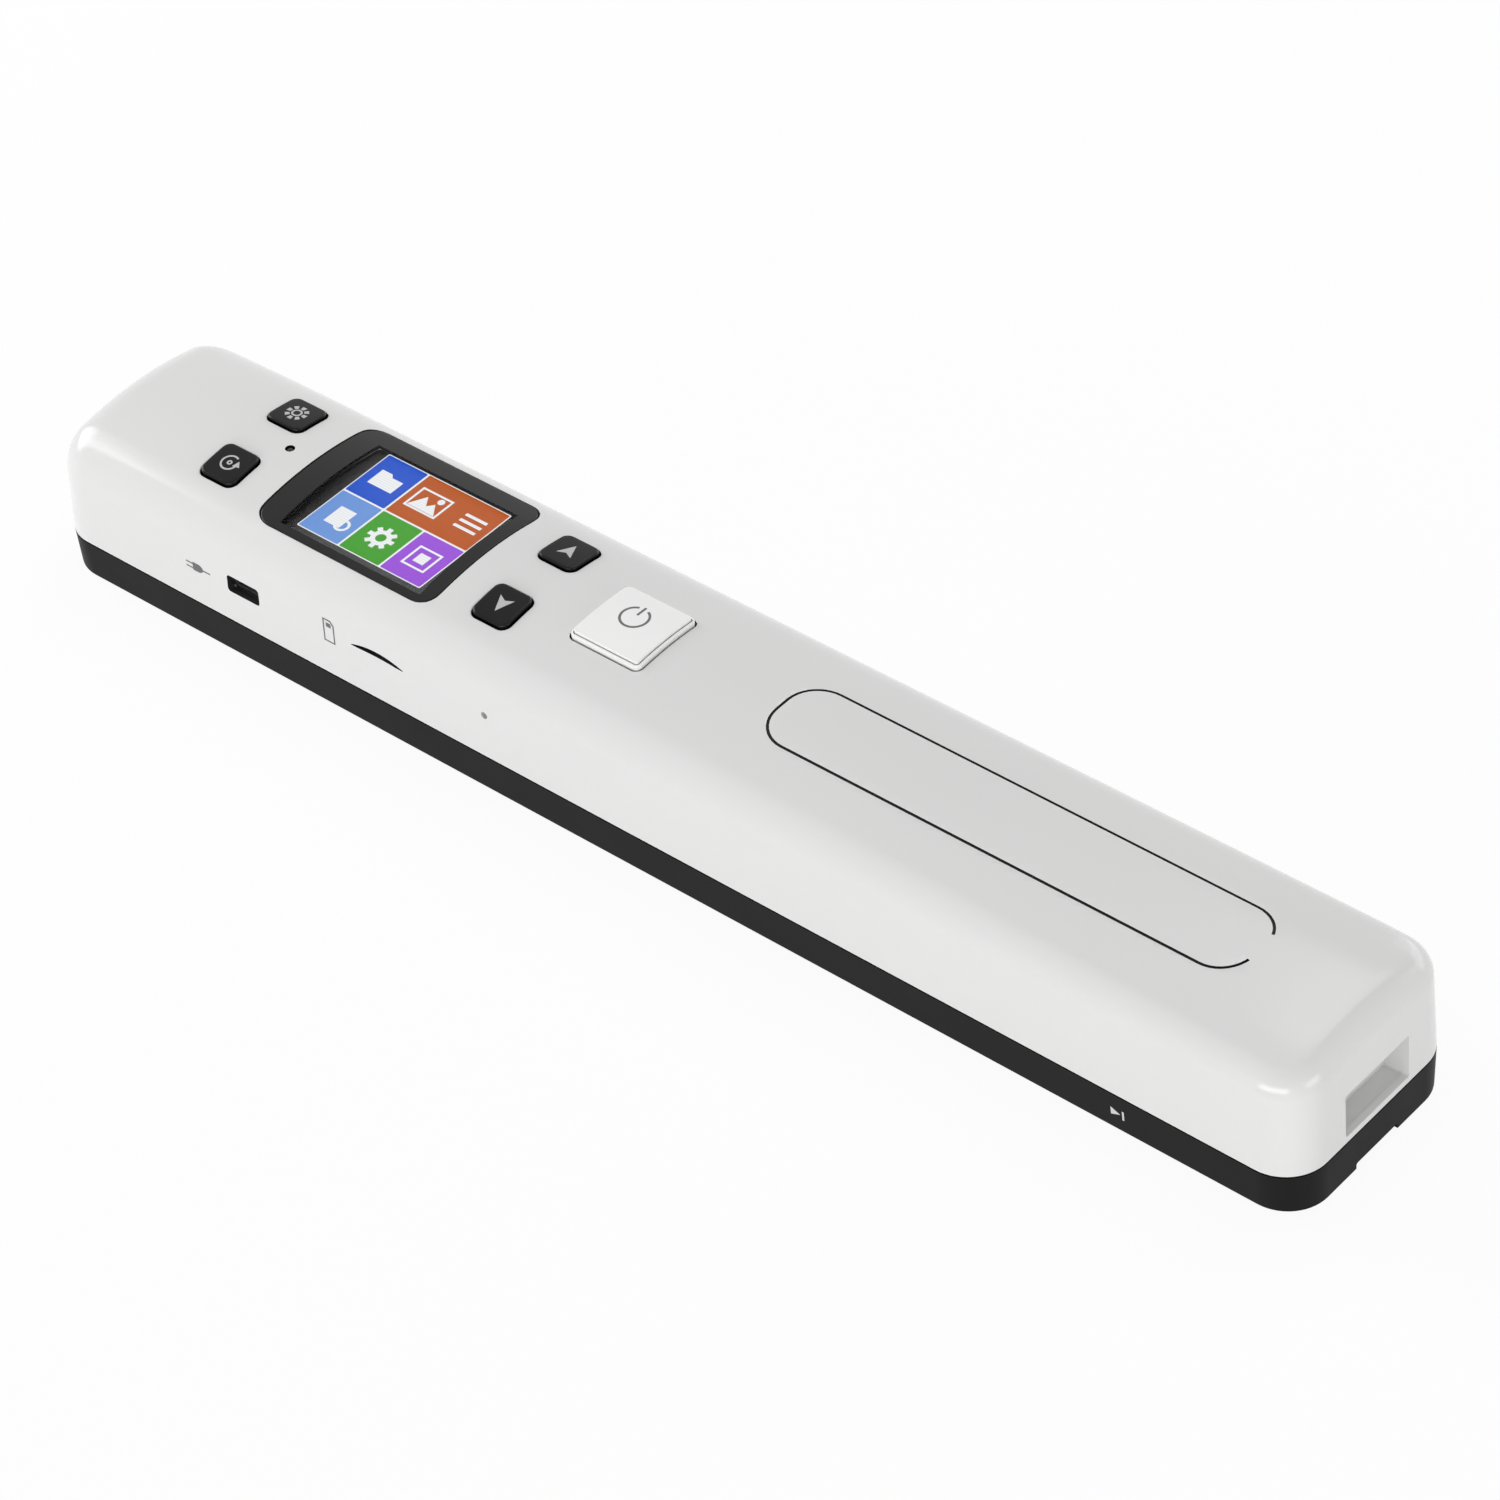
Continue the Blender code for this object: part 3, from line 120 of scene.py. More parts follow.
def bevelPicked(width, segments, affect="EDGES"):
    bpy.ops.mesh.bevel(offset=width, segments=segments, affect=affect)
    leaveEdit()


def roundUprights(piece, radius, segments, axis=2):  # the edges that run along the axis
    def runsAlong(edge):
        start, end = (vertex.co for vertex in edge.verts)
        return all(abs(start[i] - end[i]) < tiny for i in range(3) if i != axis)

    pick(piece, "EDGE", runsAlong)
    bevelPicked(radius, segments)


def roundRims(piece, heights, radius, segments, axis=2):  # the edges that lie at one of the heights
    def liesAt(edge):
        return any(all(abs(vertex.co[axis] - height) < tiny for vertex in edge.verts) for height in heights)

    pick(piece, "EDGE", liesAt)
    bevelPicked(radius, segments)


def cutAcross(piece, axis, places):  # bisects without removing anything
    normal = [float(i == axis) for i in range(3)]
    for place in places:
        pickAll(piece)
        bpy.ops.mesh.bisect(plane_co=[place * part for part in normal], plane_no=normal)
    leaveEdit()


def steps(middle, reach, count):  # even places, the ends included
    low, high = middle - reach, middle + reach
    return [low + (high - low) * i / count for i in range(count + 1)]


def form(piece, rule):
    for vertex in piece.data.vertices:
        vertex.co = rule(*vertex.co)
    piece.data.update()
    return piece


def applyModifier(piece, kind, **settings):
    choose(piece)
    modifier = piece.modifiers.new(kind.lower(), kind)
    for name, value in settings.items():
        setattr(modifier, name, value)
    bpy.ops.object.modifier_apply(modifier=modifier.name)


def joined(pieces, name):
    clearPick()
    for piece in pieces:
        piece.select_set(True)
    bpy.context.view_layer.objects.active = pieces[0]
    if len(pieces) > 1:
        bpy.ops.object.join()
    pieces[0].name = name
    return pieces[0]


def drop(piece):
    mesh = piece.data
    bpy.data.objects.remove(piece)
    bpy.data.meshes.remove(mesh)


def carve(piece, tools, operation="DIFFERENCE"):
    for tool in tools:  # a tool with a material of its own leaves it on what it cuts
        keep = "TRANSFER" if len(tool.data.materials) else "INDEX"
        applyModifier(piece, "BOOLEAN", operation=operation, solver="EXACT", material_mode=keep, object=tool)
        drop(tool)
    return piece


def outward(piece):
    pickAll(piece)
    bpy.ops.mesh.remove_doubles(threshold=tiny / 10)
    bpy.ops.mesh.normals_make_consistent()
    leaveEdit()
    return piece


def give(piece, *looks):
    for look in looks:
        piece.data.materials.append(look)
    return piece


def colourPicked(piece, place):  # what is selected takes the piece's material at that place
    piece.active_material_index = place
    bpy.ops.object.material_slot_assign()
    leaveEdit()


def copied(piece, name, move=(0, 0, 0)):  # with its own mesh, without a solid's parent and tags
    copy = piece.copy()
    copy.data = piece.data.copy()
    copy.parent = None
    copy.name = name
    for key in list(copy.keys()):
        del copy[key]
    scene.collection.objects.link(copy)
    copy.location = move
    return settle(copy)


def mergedCopy(node, name):  # a solid's own mesh as a piece, with its loose triangles merged
    copy = copied(nodes[node], name)
    pickAll(copy)
    bpy.ops.mesh.remove_doubles(threshold=tiny)
    leaveEdit()
    copy.data.materials.clear()
    return copy


def finish(piece, slot, *replaced, owner="body"):
    choose(piece)
    bpy.ops.object.shade_smooth_by_angle(angle=math.radians(35))
    # large faces lead the shading, so that small ones beside them don't smear it
    applyModifier(piece, "WEIGHTED_NORMAL", keep_sharp=True, weight=50)
    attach(piece, owner)
    if replaced:
        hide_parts(*replaced)

# small helpers for materials


def tone(code):  # sRGB hex to linear
    parts = [int(code[i : i + 2], 16) / 255 for i in (1, 3, 5)]
    linear = [part / 12.92 if part <= 0.04045 else ((part + 0.055) / 1.055) ** 2.4 for part in parts]
    return (*linear, 1)


def addNode(tree, kind, settings, links=None):
    node = tree.nodes.new("ShaderNode" + kind)
    for name, value in settings.items():
        if isinstance(name, int) or name in node.inputs:
            node.inputs[name].default_value = value
        else:
            setattr(node, name, value)
    for name, source in (links or {}).items():
        tree.links.new(source, node.inputs[name])
    return node


def startMaterial(name, look):  # takes what the look says of the shader's sockets
    material = bpy.data.materials.new(name)
    material.use_nodes = True
    for socket in material.node_tree.nodes["Principled BSDF"].inputs:
        if socket.name in look:
            socket.default_value = look[socket.name]
    return material


perMetre = 1000  # millimetres


# A look's patterns are sized in millimetres: drift for its patches of colour, grain for its relief, haze for
# its gloss. Bands or runs stand in for the grain. A pattern that it lacks is taken from the grain or the haze.
def makeMaterial(name, look):
    material = startMaterial(name, look)
    tree = material.node_tree
    shader = tree.nodes["Principled BSDF"]
    place = {"Vector": addNode(tree, "TexCoord", {}).outputs["Object"]}
    if "stretch" in look:
        place = {"Vector": addNode(tree, "Mapping", {"Scale": look["stretch"]}, place).outputs["Vector"]}
    fields = {}
    for part, detail in (("drift", 3.0), ("grain", 4.0), ("haze", look.get("hazeDetail", 5.0))):
        if part in look:
            settings = {"Scale": perMetre / look[part], "Detail": detail}
            fields[part] = addNode(tree, "TexNoise", settings, place).outputs["Fac"]
    if "bands" in look:  # the wave texture draws 20 / tau bands in each unit of its scale
        pitch, axis, wander = look["bands"]
        settings = {"Scale": math.tau / 20 * perMetre / pitch, "bands_direction": axis, "Distortion": wander}
        fields["grain"] = addNode(tree, "TexWave", settings, place).outputs["Fac"]
    if "runs" in look:  # copper runs below the mask of a board
        settings = {"Scale": perMetre / look["runs"], "Mortar Size": 0.06, "Mortar Smooth": 0.1}
        fields["grain"] = addNode(tree, "TexBrick", settings, place).outputs["Fac"]
    grain = fields.get("grain", fields.get("haze"))
    if "colours" in look:
        ramp = addNode(tree, "ValToRGB", {}, {"Fac": fields.get("drift", grain)})
        for element, code in zip(ramp.color_ramp.elements, look["colours"].split()):
            element.color = tone(code)
        tree.links.new(ramp.outputs["Color"], shader.inputs[look.get("tints", "Base Color")])
    if "gloss" in look:
        low, high = look["gloss"]
        spread = addNode(tree, "MapRange", {"To Min": low, "To Max": high}, {"Value": fields.get("haze", grain)})
        tree.links.new(spread.outputs["Result"], shader.inputs["Roughness"])
    if "relief" in look:
        strength, depth = look["relief"]
        bump = addNode(tree, "Bump", {"Strength": strength, "Distance": depth}, {"Height": grain})
        tree.links.new(bump.outputs["Normal"], shader.inputs["Normal"])
    return material


# the sizes are those of drift, grain and haze
def makePlastic(name, colours, sizes, relief, gloss, ior=1.5, specular=0.5, sockets=None):
    look = {"colours": colours, "relief": relief, "gloss": gloss, "IOR": ior, "Specular IOR Level": specular}
    look["drift"], look["grain"], look["haze"] = sizes
    return makeMaterial(name, {**look, **(sockets or {})})


# materials of the outside

whiteShell = makePlastic(  # moulded ABS from a polished tool: clean, with a soft sheen
    "glossy_white_abs", "#dddddd #e0e0df", (40, 1.1, 6), (0.02, 2e-5), (0.17, 0.21)
)
blackTray = makePlastic(  # spark-eroded tool: a fine even grain and a broad dull sheen
    "satin_black_abs", "#121213 #181819", (20, 0.35, 10), (0.35, 3e-5), (0.42, 0.55), specular=0.075
)
blackKey = makePlastic(  # polished black caps with a clear reflection
    "gloss_black_key_abs", "#040404 #070707", (10, 0.9, 4), (0.05, 1e-5), (0.16, 0.24), 1.45, 0.25
)
whiteKey = makePlastic(  # a whiter, slightly duller cap than the shell
    "satin_white_key_abs", "#f3f3f3 #f6f6f5", (10, 0.5, 6), (0.08, 1e-5), (0.32, 0.42)
)
linePaint = makePlastic(  # dull dark paint wiped into the engraved line
    "black_filled_groove", "#141415 #1f1f20", (4, 0.4, 3), (0.2, 2e-5), (0.55, 0.7), specular=0.3
)
openingShade = makePlastic(  # painted shade: matt black on the lip and walls of the display's opening, where shade falls
    "painted_shade_display_opening", "#0e0e0e #161616", (2, 0.2, 1), (0.3, 1e-5), (0.6, 0.8), 1.4, 0.2
)
paintedGapShade = makePlastic(  # painted shade: dark on the walls of the narrow gap round a key, where shade falls
    "painted_gap_shade", "#101011 #161617", (2, 0.3, 1), (0.2, 1e-5), (0.6, 0.8), 1.45, 0.2
)
borderInk = makePlastic(  # black ink behind the pane, deep and even
    "black_back_printed_ink", "#212122 #272728", (8, 0.3, 4), (0.05, 1e-5), (0.5, 0.6), specular=0.05
)
paneInk = makePlastic(  # ink seen through the pane: black under a clear gloss
    "black_back_printed_acrylic", "#19191a #1e1e1f", (8, 2, 2), (0.02, 1e-5), (0.02, 0.06), 1.49, 0.25
)
rollerRubber = makePlastic(  # dark, dull, with a dusty bloom
    "moulded_silicone_rubber", "#1c1c1d #2b2b2c", (3, 0.3, 2), (0.5, 4e-5), (0.6, 0.8),
    1.42, sockets={"Sheen Weight": 0.15},
)


def makeInk(name, colours, gloss=(0.5, 0.65)):  # flat screen ink, a little lighter where it is thick
    return makePlastic(name, colours, (1, 0.2, 1), (0.1, 5e-6), gloss)


keyPrint = makeInk("pad_printed_grey_ink", "#b2b2b2 #c2c2c2", (0.45, 0.6))  # signs on the black keys
greyPrint = makeInk("pad_printed_dark_grey_ink", "#5c5d5f #6c6d6f")  # signs on the white parts
whitePrint = makeInk("pad_printed_white_ink", "#c8c8c8 #d8d8d8")  # thin white over black, so slightly grey
print("outside materials made")

# materials of the works inside

blackHousing = makePlastic(  # dull, with faint fibre streaks
    "black_glass_filled_polymer", "#131314 #1f1f20", (2, 0.3, 2), (0.4, 3e-5), (0.5, 0.7)
)
nylon = makePlastic(  # milky, waxy, slightly see-through at the edges
    "natural_nylon", "#dcd9cd #e9e6db", (2, 0.3, 1), (0.2, 2e-5), (0.38, 0.5),
    1.53, sockets={"Subsurface Weight": 0.15, "Subsurface Scale": 0.001},
)
whitePart = makePlastic(  # opaque white with a dry sheen
    "white_pom_moulding", "#e2e1dc #ecebe7", (3, 0.4, 2), (0.2, 2e-5), (0.4, 0.52), 1.48
)


def makeWire(name, colours):  # extruded PVC: even, with a soft shine
    return makePlastic(name, colours, (2, 0.2, 1), (0.15, 1e-5), (0.35, 0.45), 1.53)


def makeMetal(name, colours, stretch, grain, relief, gloss):  # with fine lines along one axis
    return makeMaterial(name, {
        "colours": colours, "stretch": stretch, "grain": grain, "relief": (relief, 1e-5), "gloss": gloss,
        "Metallic": 1.0,
    })


tinPlate = makeMetal(  # stamped shells: bright, with rolling lines along the part
    "tin_plated_steel_sheet", "#b9bbbd #cfd0d1", (0.08, 1, 1), 0.4, 0.15, (0.22, 0.4)
)
groundSteel = makeMetal(  # centreless ground: fine rings round the rod
    "ground_steel_rod", "#a9abae #c4c6c8", (1, 0.1, 0.1), 0.3, 0.1, (0.18, 0.32)
)
zincScrew = makeMetal(  # passivated zinc: pale grey with a slight warm cast
    "zinc_plated_screw_steel", "#a7a79f #c6c5bb", (1, 1, 0.2), 0.5, 0.2, (0.28, 0.45)
)
greenBoard = makeMaterial("green_masked_fr4_board", {  # glass epoxy under solder mask: lighter over its copper
    "colours": "#0f4a22 #2a7a3d", "runs": 8, "relief": (0.4, 4e-5), "haze": 0.6, "hazeDetail": 3.0,
    "gloss": (0.25, 0.45), "IOR": 1.55, "Coat Weight": 0.4, "Coat Roughness": 0.15,
})


def makeStriped(name, colours, bands, gloss, sockets):
    return makeMaterial(name, {
        "colours": colours, "bands": bands, "relief": (0.5, 4e-5), "haze": 1, "hazeDetail": 2.0,
        "gloss": gloss, **sockets,
    })


ribbonFilm = makeStriped(  # polyester film over tinned conductors 1 mm apart
    "white_flat_cable_film", "#d6d8da #eceded", (1, "Y", 0.0), (0.25, 0.4),
    {"IOR": 1.58, "Coat Weight": 0.3},
)
rodLens = makeStriped(  # a row of glass rods in grey resin, drawn 0.6 mm apart to show
    "rod_lens_resin", "#3c4048 #a8b4c0", (0.6, "X", 0.0), (0.08, 0.2),
    {"IOR": 1.6, "Coat Weight": 0.6, "Coat Roughness": 0.05},
)
cellWrap = makeStriped(  # aluminised pouch film: dull silver, faintly rippled
    "silver_pouch_foil", "#a3a5a6 #bcbebf", (6, "X", 3.0), (0.3, 0.5), {"Metallic": 0.9}
)


def makeClear(name, colour, passed, ior, haze, gloss):  # faintly uneven in its polish
    return makeMaterial(name, {
        "haze": haze, "hazeDetail": 3.0, "gloss": gloss, "relief": (0.03, 1e-5),
        "Base Color": tone(colour), "Transmission Weight": passed, "IOR": ior,
    })


def letLampsThrough(material):  # lamps light what lies behind it directly, which keeps that free of grain
    tree = material.node_tree
    parts = {
        0: addNode(tree, "LightPath", {}).outputs["Is Shadow Ray"],
        1: tree.nodes["Principled BSDF"].outputs[0],
        2: addNode(tree, "BsdfTransparent", {}).outputs[0],
    }
    blend = addNode(tree, "MixShader", {}, parts).outputs[0]
    tree.links.new(blend, tree.nodes["Material Output"].inputs["Surface"])


# a low-glare coat, so its IOR is far below bare acrylic's 1.49
lensAcrylic = makeClear("coated_clear_acrylic", "#ffffff", 1.0, 1.13, 2, (0.0, 0.03))
letLampsThrough(lensAcrylic)
guideAcrylic = makeClear("clear_acrylic_rod", "#f4fbff", 0.9, 1.49, 1, (0.02, 0.1))  # bright and clean
smokedPipe = makeClear("smoked_acrylic_pipe", "#1a1a1c", 0.4, 1.45, 0.5, (0.1, 0.2))  # dark until it is lit
windowGlass = makeClear("float_glass_strip", "#eef6f1", 1.0, 1.5, 4, (0.0, 0.02))  # faintly green
print("inside materials made")

dressed = (
    (tinPlate, "usb_socket"),
    (groundSteel, "front_axle rear_axle encoder_pin"),
    (zincScrew, "board_screw_left board_screw_right"),
    (blackHousing, "sensor_housing photo_interrupter card_socket ribbon_socket reset_switch reset_plunger"),
    (blackHousing, "switch_back switch_menu switch_down switch_up switch_scan lcd_panel"),
    (nylon, "roller_gear encoder_wheel front_bush_left front_bush_right rear_bush_left rear_bush_right"),
    (whitePart, "display_holder battery_plug light_source status_led"),
    (whitePart, "plunger_back plunger_menu plunger_down plunger_up plunger_scan"),
    (makeWire("red_pvc_wire", "#a51714 #c02420"), "battery_lead_red"),
    (makeWire("black_pvc_wire", "#101010 #1c1c1c"), "battery_lead_black"),
    (greenBoard, "main_board sensor_board"),
    (ribbonFilm, "ribbon_cable"),
    (rodLens, "rod_lens_array"),
    (cellWrap, "battery"),
    (guideAcrylic, "light_guide"),
)
for look, names in dressed:
    for name in names.split():
        nodes[name].material_slots[0].material = look
print("solids dressed")

# the body's form, the same as the solids'

body = {
    "length": 0.257, "width": 0.0402, "height": 0.0292,
    "rim": 0.00815, "seam": 0.008,  # the cover's lower edge, and the height that the draft starts from
    "planRadius": 0.0075, "leastCorner": 0.0013,
    "crownRadius": 0.062,
    "leftDroop": 0.0009, "leftDroopLength": 0.035, "rightDroop": 0.0006, "rightDroopLength": 0.015,
    "leftShoulder": 0.0085, "leftEndShoulder": 0.0062, "rightShoulder": 0.005,
    "sideDraft": 0.038, "endDraft": 0.023,
    "blockShoulder": 0.007,  # the even radius of the straight block that the form starts as
    "cornerSteps": 14, "shoulderSteps": 14, "alongSteps": 80, "acrossSteps": 14,
    "cutClear": 0.0002,  # how far the cuts keep from the round corners
    "wall": 0.0018, "below": 0.001,  # the cutters for the inside start that far below the rim
    "skin": 0.0012, "lap": 0.0008,  # the new skin's thickness, and how deep the solid's inside starts
}
halfX = body["length"] / 2
halfY = body["width"] / 2


def crown(x, y):
    left = max(0, 1 - (x + halfX) / body["leftDroopLength"])
    right = max(0, 1 - (halfX - x) / body["rightDroopLength"])
    arch = y * y / (2 * body["crownRadius"])
    return body["height"] - arch - body["leftDroop"] * left**2 - body["rightDroop"] * right**2


def wallHalves(z, depth=0):
    rise = z - body["seam"]
    return halfX - body["endDraft"] * rise - depth, halfY - body["sideDraft"] * rise - depth


def bodyPoint(x, y, z, depth, low):  # from the straight block to the real body
    radius0 = body["blockShoulder"]
    corner0 = body["planRadius"]
    coreX, coreY = halfX - corner0, halfY - corner0
    sideX, sideY = math.copysign(1, x), math.copysign(1, y)
    outX, outY = abs(x) - coreX, abs(y) - coreY
    if outX > 0 and outY > 0:
        reach = math.hypot(outX, outY)
        away = (sideX * outX / reach, sideY * outY / reach)
        inset = corner0 - reach
    elif halfX - abs(x) < halfY - abs(y):
        away, inset = (sideX, 0), halfX - abs(x)
    else:
        away, inset = (0, sideY), halfY - abs(y)
    if inset > radius0 + tiny:
        return (x, y, crown(x, y) - depth if z > body["height"] / 2 else z)
    along = (max(-1, min(1, x / coreX)), max(-1, min(1, y / coreY)))
    full = body["leftShoulder"] + (body["rightShoulder"] - body["leftShoulder"]) * (along[0] + 1) / 2
    if away[0] < 0:
        full += (body["leftEndShoulder"] - body["leftShoulder"]) * away[0] ** 2
    halves = wallHalves(body["height"] - full, depth)
    radius = full - depth

    def spot(inner, sizes=halves):
        corner = max(corner0 - depth - inner, body["leastCorner"])
        return tuple(along[i] * (sizes[i] - inner - corner) + corner * away[i] for i in range(2))

    probe = radius / 10  # how far ahead the crown's slope is read
    nearX, nearY = spot(radius)
    ahead = crown(nearX + away[0] * probe, nearY + away[1] * probe)
    sweep = math.pi / 2 - math.atan(max(0, (crown(nearX, nearY) - ahead) / probe))
    top = crown(*spot(radius * (1 - math.cos(sweep)))) - depth
    middle = top - radius * math.sin(sweep)
    start = body["height"] - radius0
    if z <= start + tiny:
        part = (z - low) / (start - low)
        foot = spot(0, wallHalves(low, depth))
        head = spot(0)
        return (*[a + (b - a) * part for a, b in zip(foot, head)], low + (middle - low) * part)
    turn = sweep * math.atan2(z - start, radius0 - inset) / (math.pi / 2)
    return (*spot(radius * (1 - math.cos(turn))), middle + radius * math.sin(turn))


def onCrown(x, y, z):  # z is the height over the crown
    return (x, y, crown(x, y) + z)


def bodyShell(name, depth, low):
    block = addSlab(name, (0, 0), (halfX, halfY), low, body["height"])
    roundUprights(block, body["planRadius"], body["cornerSteps"])
    roundRims(block, [body["height"]], body["blockShoulder"], body["shoulderSteps"])
    for axis, half, count in ((0, halfX, body["alongSteps"]), (1, halfY, body["acrossSteps"])):
        cutAcross(block, axis, steps(0, half - body["planRadius"] - body["cutClear"], count))
    return form(block, lambda x, y, z: bodyPoint(x, y, z, depth, low))


# openings

opening = {"spare": 0.00012, "lip": 0.0002, "lipSteps": 4, "reach": 0.006, "above": 0.0012, "cornerSteps": 6}


# A cutter that flares at the crown, which rounds the lip. The looks are the lip's and the wall's; the wall's is
# painted shade.
def addWell(name, at, half, corner, looks=(whiteShell, paintedGapShade)):
    lip = opening["lip"]
    x, y = at
    well = addSlab(name, at, half, -opening["reach"], -lip)
    roundUprights(well, corner, opening["cornerSteps"])
    pick(well, "FACE", lambda face: face.normal.z > 0.9)
    before = 0.0
    low = -lip
    for i in range(1, opening["lipSteps"] + 1):
        turn = math.pi / 2 * i / opening["lipSteps"]
        spread = lip * (1 - math.cos(turn))
        high = -lip + lip * math.sin(turn)
        raisePicked(high - low)
        scale = [(size + spread) / (size + before) for size in half]
        bpy.ops.transform.resize(value=(*scale, 1), center_override=(x, y, 0))
        before, low = spread, high
    raisePicked(opening["above"])
    give(well, *looks)
    # the walls below the lip take the second look, painted shade
    pick(well, "FACE", lambda face: face.calc_center_median().z < -lip)
    colourPicked(well, 1)
    cutAcross(well, 1, steps(y, half[1] * 0.9, 10))
    return form(well, onCrown)


keys = {
    "size": 0.0076, "corner": 0.0015, "proud": 0.0006, "edge": 0.00035, "gap": 0.0003,
    "places": {
        "key_back": (-0.0957, -0.008, "back_key"), "key_menu": (-0.0957, 0.008, "menu_key"),
        "key_down": (-0.0353, -0.008, "down_key"), "key_up": (-0.0353, 0.008, "up_key"),
    },
    "flangeReach": 0.0008, "flangeThickness": 0.0008, "stemRadius": 0.0015, "stemLow": 0.0239, "overlap": 0.0003,
}
scanKey = {
    "x": -0.0147, "size": 0.0145, "corner": 0.0012, "proud": 0.0006, "edge": 0.00015,
    "inset": 0.0006, "groove": 0.00018, "sunk": 0.0003, "roomTop": 0.003, "overlap": 0.0001,
    "faceProud": 0.001, "faceEdge": 0.00018,
}
display = {
    "x": -0.0653, "size": (0.0387, 0.029), "corner": 0.0034, "gap": 0.00006, "edge": 0.0002,
    "thickness": 0.001, "border": 0.00035, "borderInset": 0.0001, "borderSunk": 0.00006,
    "holeReach": (0.002, 0.001), "holeCorner": 0.0005,
    "clear": (-0.0796, -0.0488, -0.013, 0.0106),  # the unprinted part of the pane: low x, high x, low y, high y
    "frame": (-0.08, -0.0488, -0.0128, 0.011),  # the opening of the frame below it
}
ports = {  # on the near side; the plug mouth's sizes are low x, high x, low z, high z
    "outside": -0.024, "inside": -0.0165, "usb": (-0.0871, -0.0799, 0.0143, 0.0176), "usbCorner": 0.0006,
    "pin": (-0.0301, 0.0167), "pinRadius": 0.00065,
}
scoop = {"at": (-0.0534, -0.0228, 0.0155), "reach": (0.0155, 0.0033, 0.0052)}
lightHole = {"at": (-0.0902, 0.0006), "radius": 0.00085, "span": (-0.004, 0.001)}  # the span is over the crown
line = {
    "low": 0.016, "high": 0.1073, "half": 0.0073, "corner": 0.0058, "straight": 0.007,
    "width": 0.0005, "depth": 0.0003, "above": 0.0006, "gapLow": -0.0027, "gapHigh": 0.0036,
}
pocket = {"halfY": 0.0079, "low": 0.0093, "high": 0.0176, "depth": 0.0044, "corner": 0.0004, "outside": 0.002}
cardSlot = (-0.0591, -0.0477, 0.01675, 0.0169, 0.0179)  # low x, high x, foot, top at its sides, top in the middle


def addLine():  # the engraved line, open at its right end
    clearPick()
    middle = (line["low"] + line["high"]) / 2
    bpy.ops.mesh.primitive_plane_add(size=1, location=(middle, 0, -line["depth"]))
    path = bpy.context.active_object
    path.scale = (line["high"] - line["low"], 2 * line["half"], 1)
    settle(path)
    pick(path, "VERT")
    bevelPicked(line["corner"], 10, affect="VERTICES")
    pick(path, "FACE")
    bpy.ops.mesh.delete(type="ONLY_FACE")
    leaveEdit()
    cutAcross(path, 1, (line["gapLow"], line["gapHigh"]))
    cutAcross(path, 0, steps(middle, (line["high"] - line["low"]) / 2 - line["straight"], 24))

    def inGap(edge):
        spot = (edge.verts[0].co + edge.verts[1].co) / 2
        return spot.x > line["high"] - line["corner"] / 2 and line["gapLow"] < spot.y < line["gapHigh"]

    pick(path, "EDGE", inGap)
    bpy.ops.mesh.delete(type="EDGE")
    bpy.ops.mesh.select_all(action="SELECT")
    bpy.ops.mesh.extrude_edges_move(TRANSFORM_OT_translate={"value": (0, 0, line["depth"] + line["above"])})
    leaveEdit()
    applyModifier(path, "SOLIDIFY", thickness=line["width"], offset=0)
    return form(outward(path), onCrown)


def addSideTools(spare):  # the plug mouth, the card slot with its arched upper edge, and the pinhole
    outside, inside = ports["outside"], ports["inside"]
    low, high, foot, head = ports["usb"]
    usb = addBlock("usb_mouth", (low - spare, outside, foot - spare), (high + spare, inside, head + spare))
    roundUprights(usb, ports["usbCorner"], 4, axis=1)
    low, high, foot, side, head = cardSlot
    slot = addBlock("card_slot", (low - spare, outside, foot - spare), (high + spare, inside, side))
    middle, half, rise = (low + high) / 2, (high - low) / 2 + spare, head + spare - side
    cutAcross(slot, 0, steps(middle, half * 0.95, 18))
    form(slot, lambda x, y, z: (x, y, z + rise * (1 - ((x - middle) / half) ** 2) if z > side - tiny else z))
    pin = addRod("pinhole", ports["pin"], ports["pinRadius"] + spare, outside, inside, 32, "Y")
    # their walls take the black of the housings: painted shade inside the plug mouth, and in the card slot the black
    # card socket behind it
    return [give(usb, blackHousing), give(slot, blackHousing), pin]


def addScoop():  # the shallow hollow for a fingertip below the slot
    clearPick()
    bpy.ops.mesh.primitive_uv_sphere_add(segments=64, ring_count=32, radius=1, location=scoop["at"])
    hollow = bpy.context.active_object
    hollow.scale = scoop["reach"]
    return settle(hollow)


def addPocketTool(spare):
    low = (halfX - pocket["depth"] - spare, -pocket["halfY"] - spare, pocket["low"] - spare)
    high = (halfX + pocket["outside"], pocket["halfY"] + spare, pocket["high"] + spare)
    tool = addBlock("pocket_tool", low, high)
    roundUprights(tool, pocket["corner"], 5, axis=0)
    return tool


def addOpenings(spare):  # every cutter that goes through the cover, wider by spare
    wells = []
    for x, y, look in [(*place[:2], keys) for place in keys["places"].values()] + [(scanKey["x"], 0, scanKey)]:
        half = look["size"] / 2 + keys["gap"] + spare
        wells.append(addWell("well", (x, y), (half, half), look["corner"] + keys["gap"]))
    light = addRod("well_light", lightHole["at"], lightHole["radius"] + spare, *lightHole["span"], 32)
    half = [size / 2 + spare for size in display["size"]]
    # the display's opening gets painted shade on its lip and its walls
    frameWell = addWell("well_display", (display["x"], 0), half, display["corner"], (openingShade, openingShade))
    wells = joined([*wells, form(light, onCrown)], "wells")
    return [wells, frameWell, *addSideTools(spare), addPocketTool(spare)]


cover = give(bodyShell("top_cover_shell", 0, body["rim"]), whiteShell)
under = body["rim"] - body["below"]
carve(cover, [bodyShell("cavity", body["skin"], under), *addOpenings(0), addScoop(), give(addLine(), linePaint)])
works = give(mergedCopy("top_cover", "cover_inside"), whiteShell)  # its posts, rails and walls, from the solid
carve(works, [bodyShell("limit", body["lap"], under)], "INTERSECT")
carve(works, addOpenings(opening["spare"]))
finish(carve(cover, [works], "UNION"), "white_shell", "top_cover")
print("cover made with", len(cover.data.polygons), "faces")


# base tray

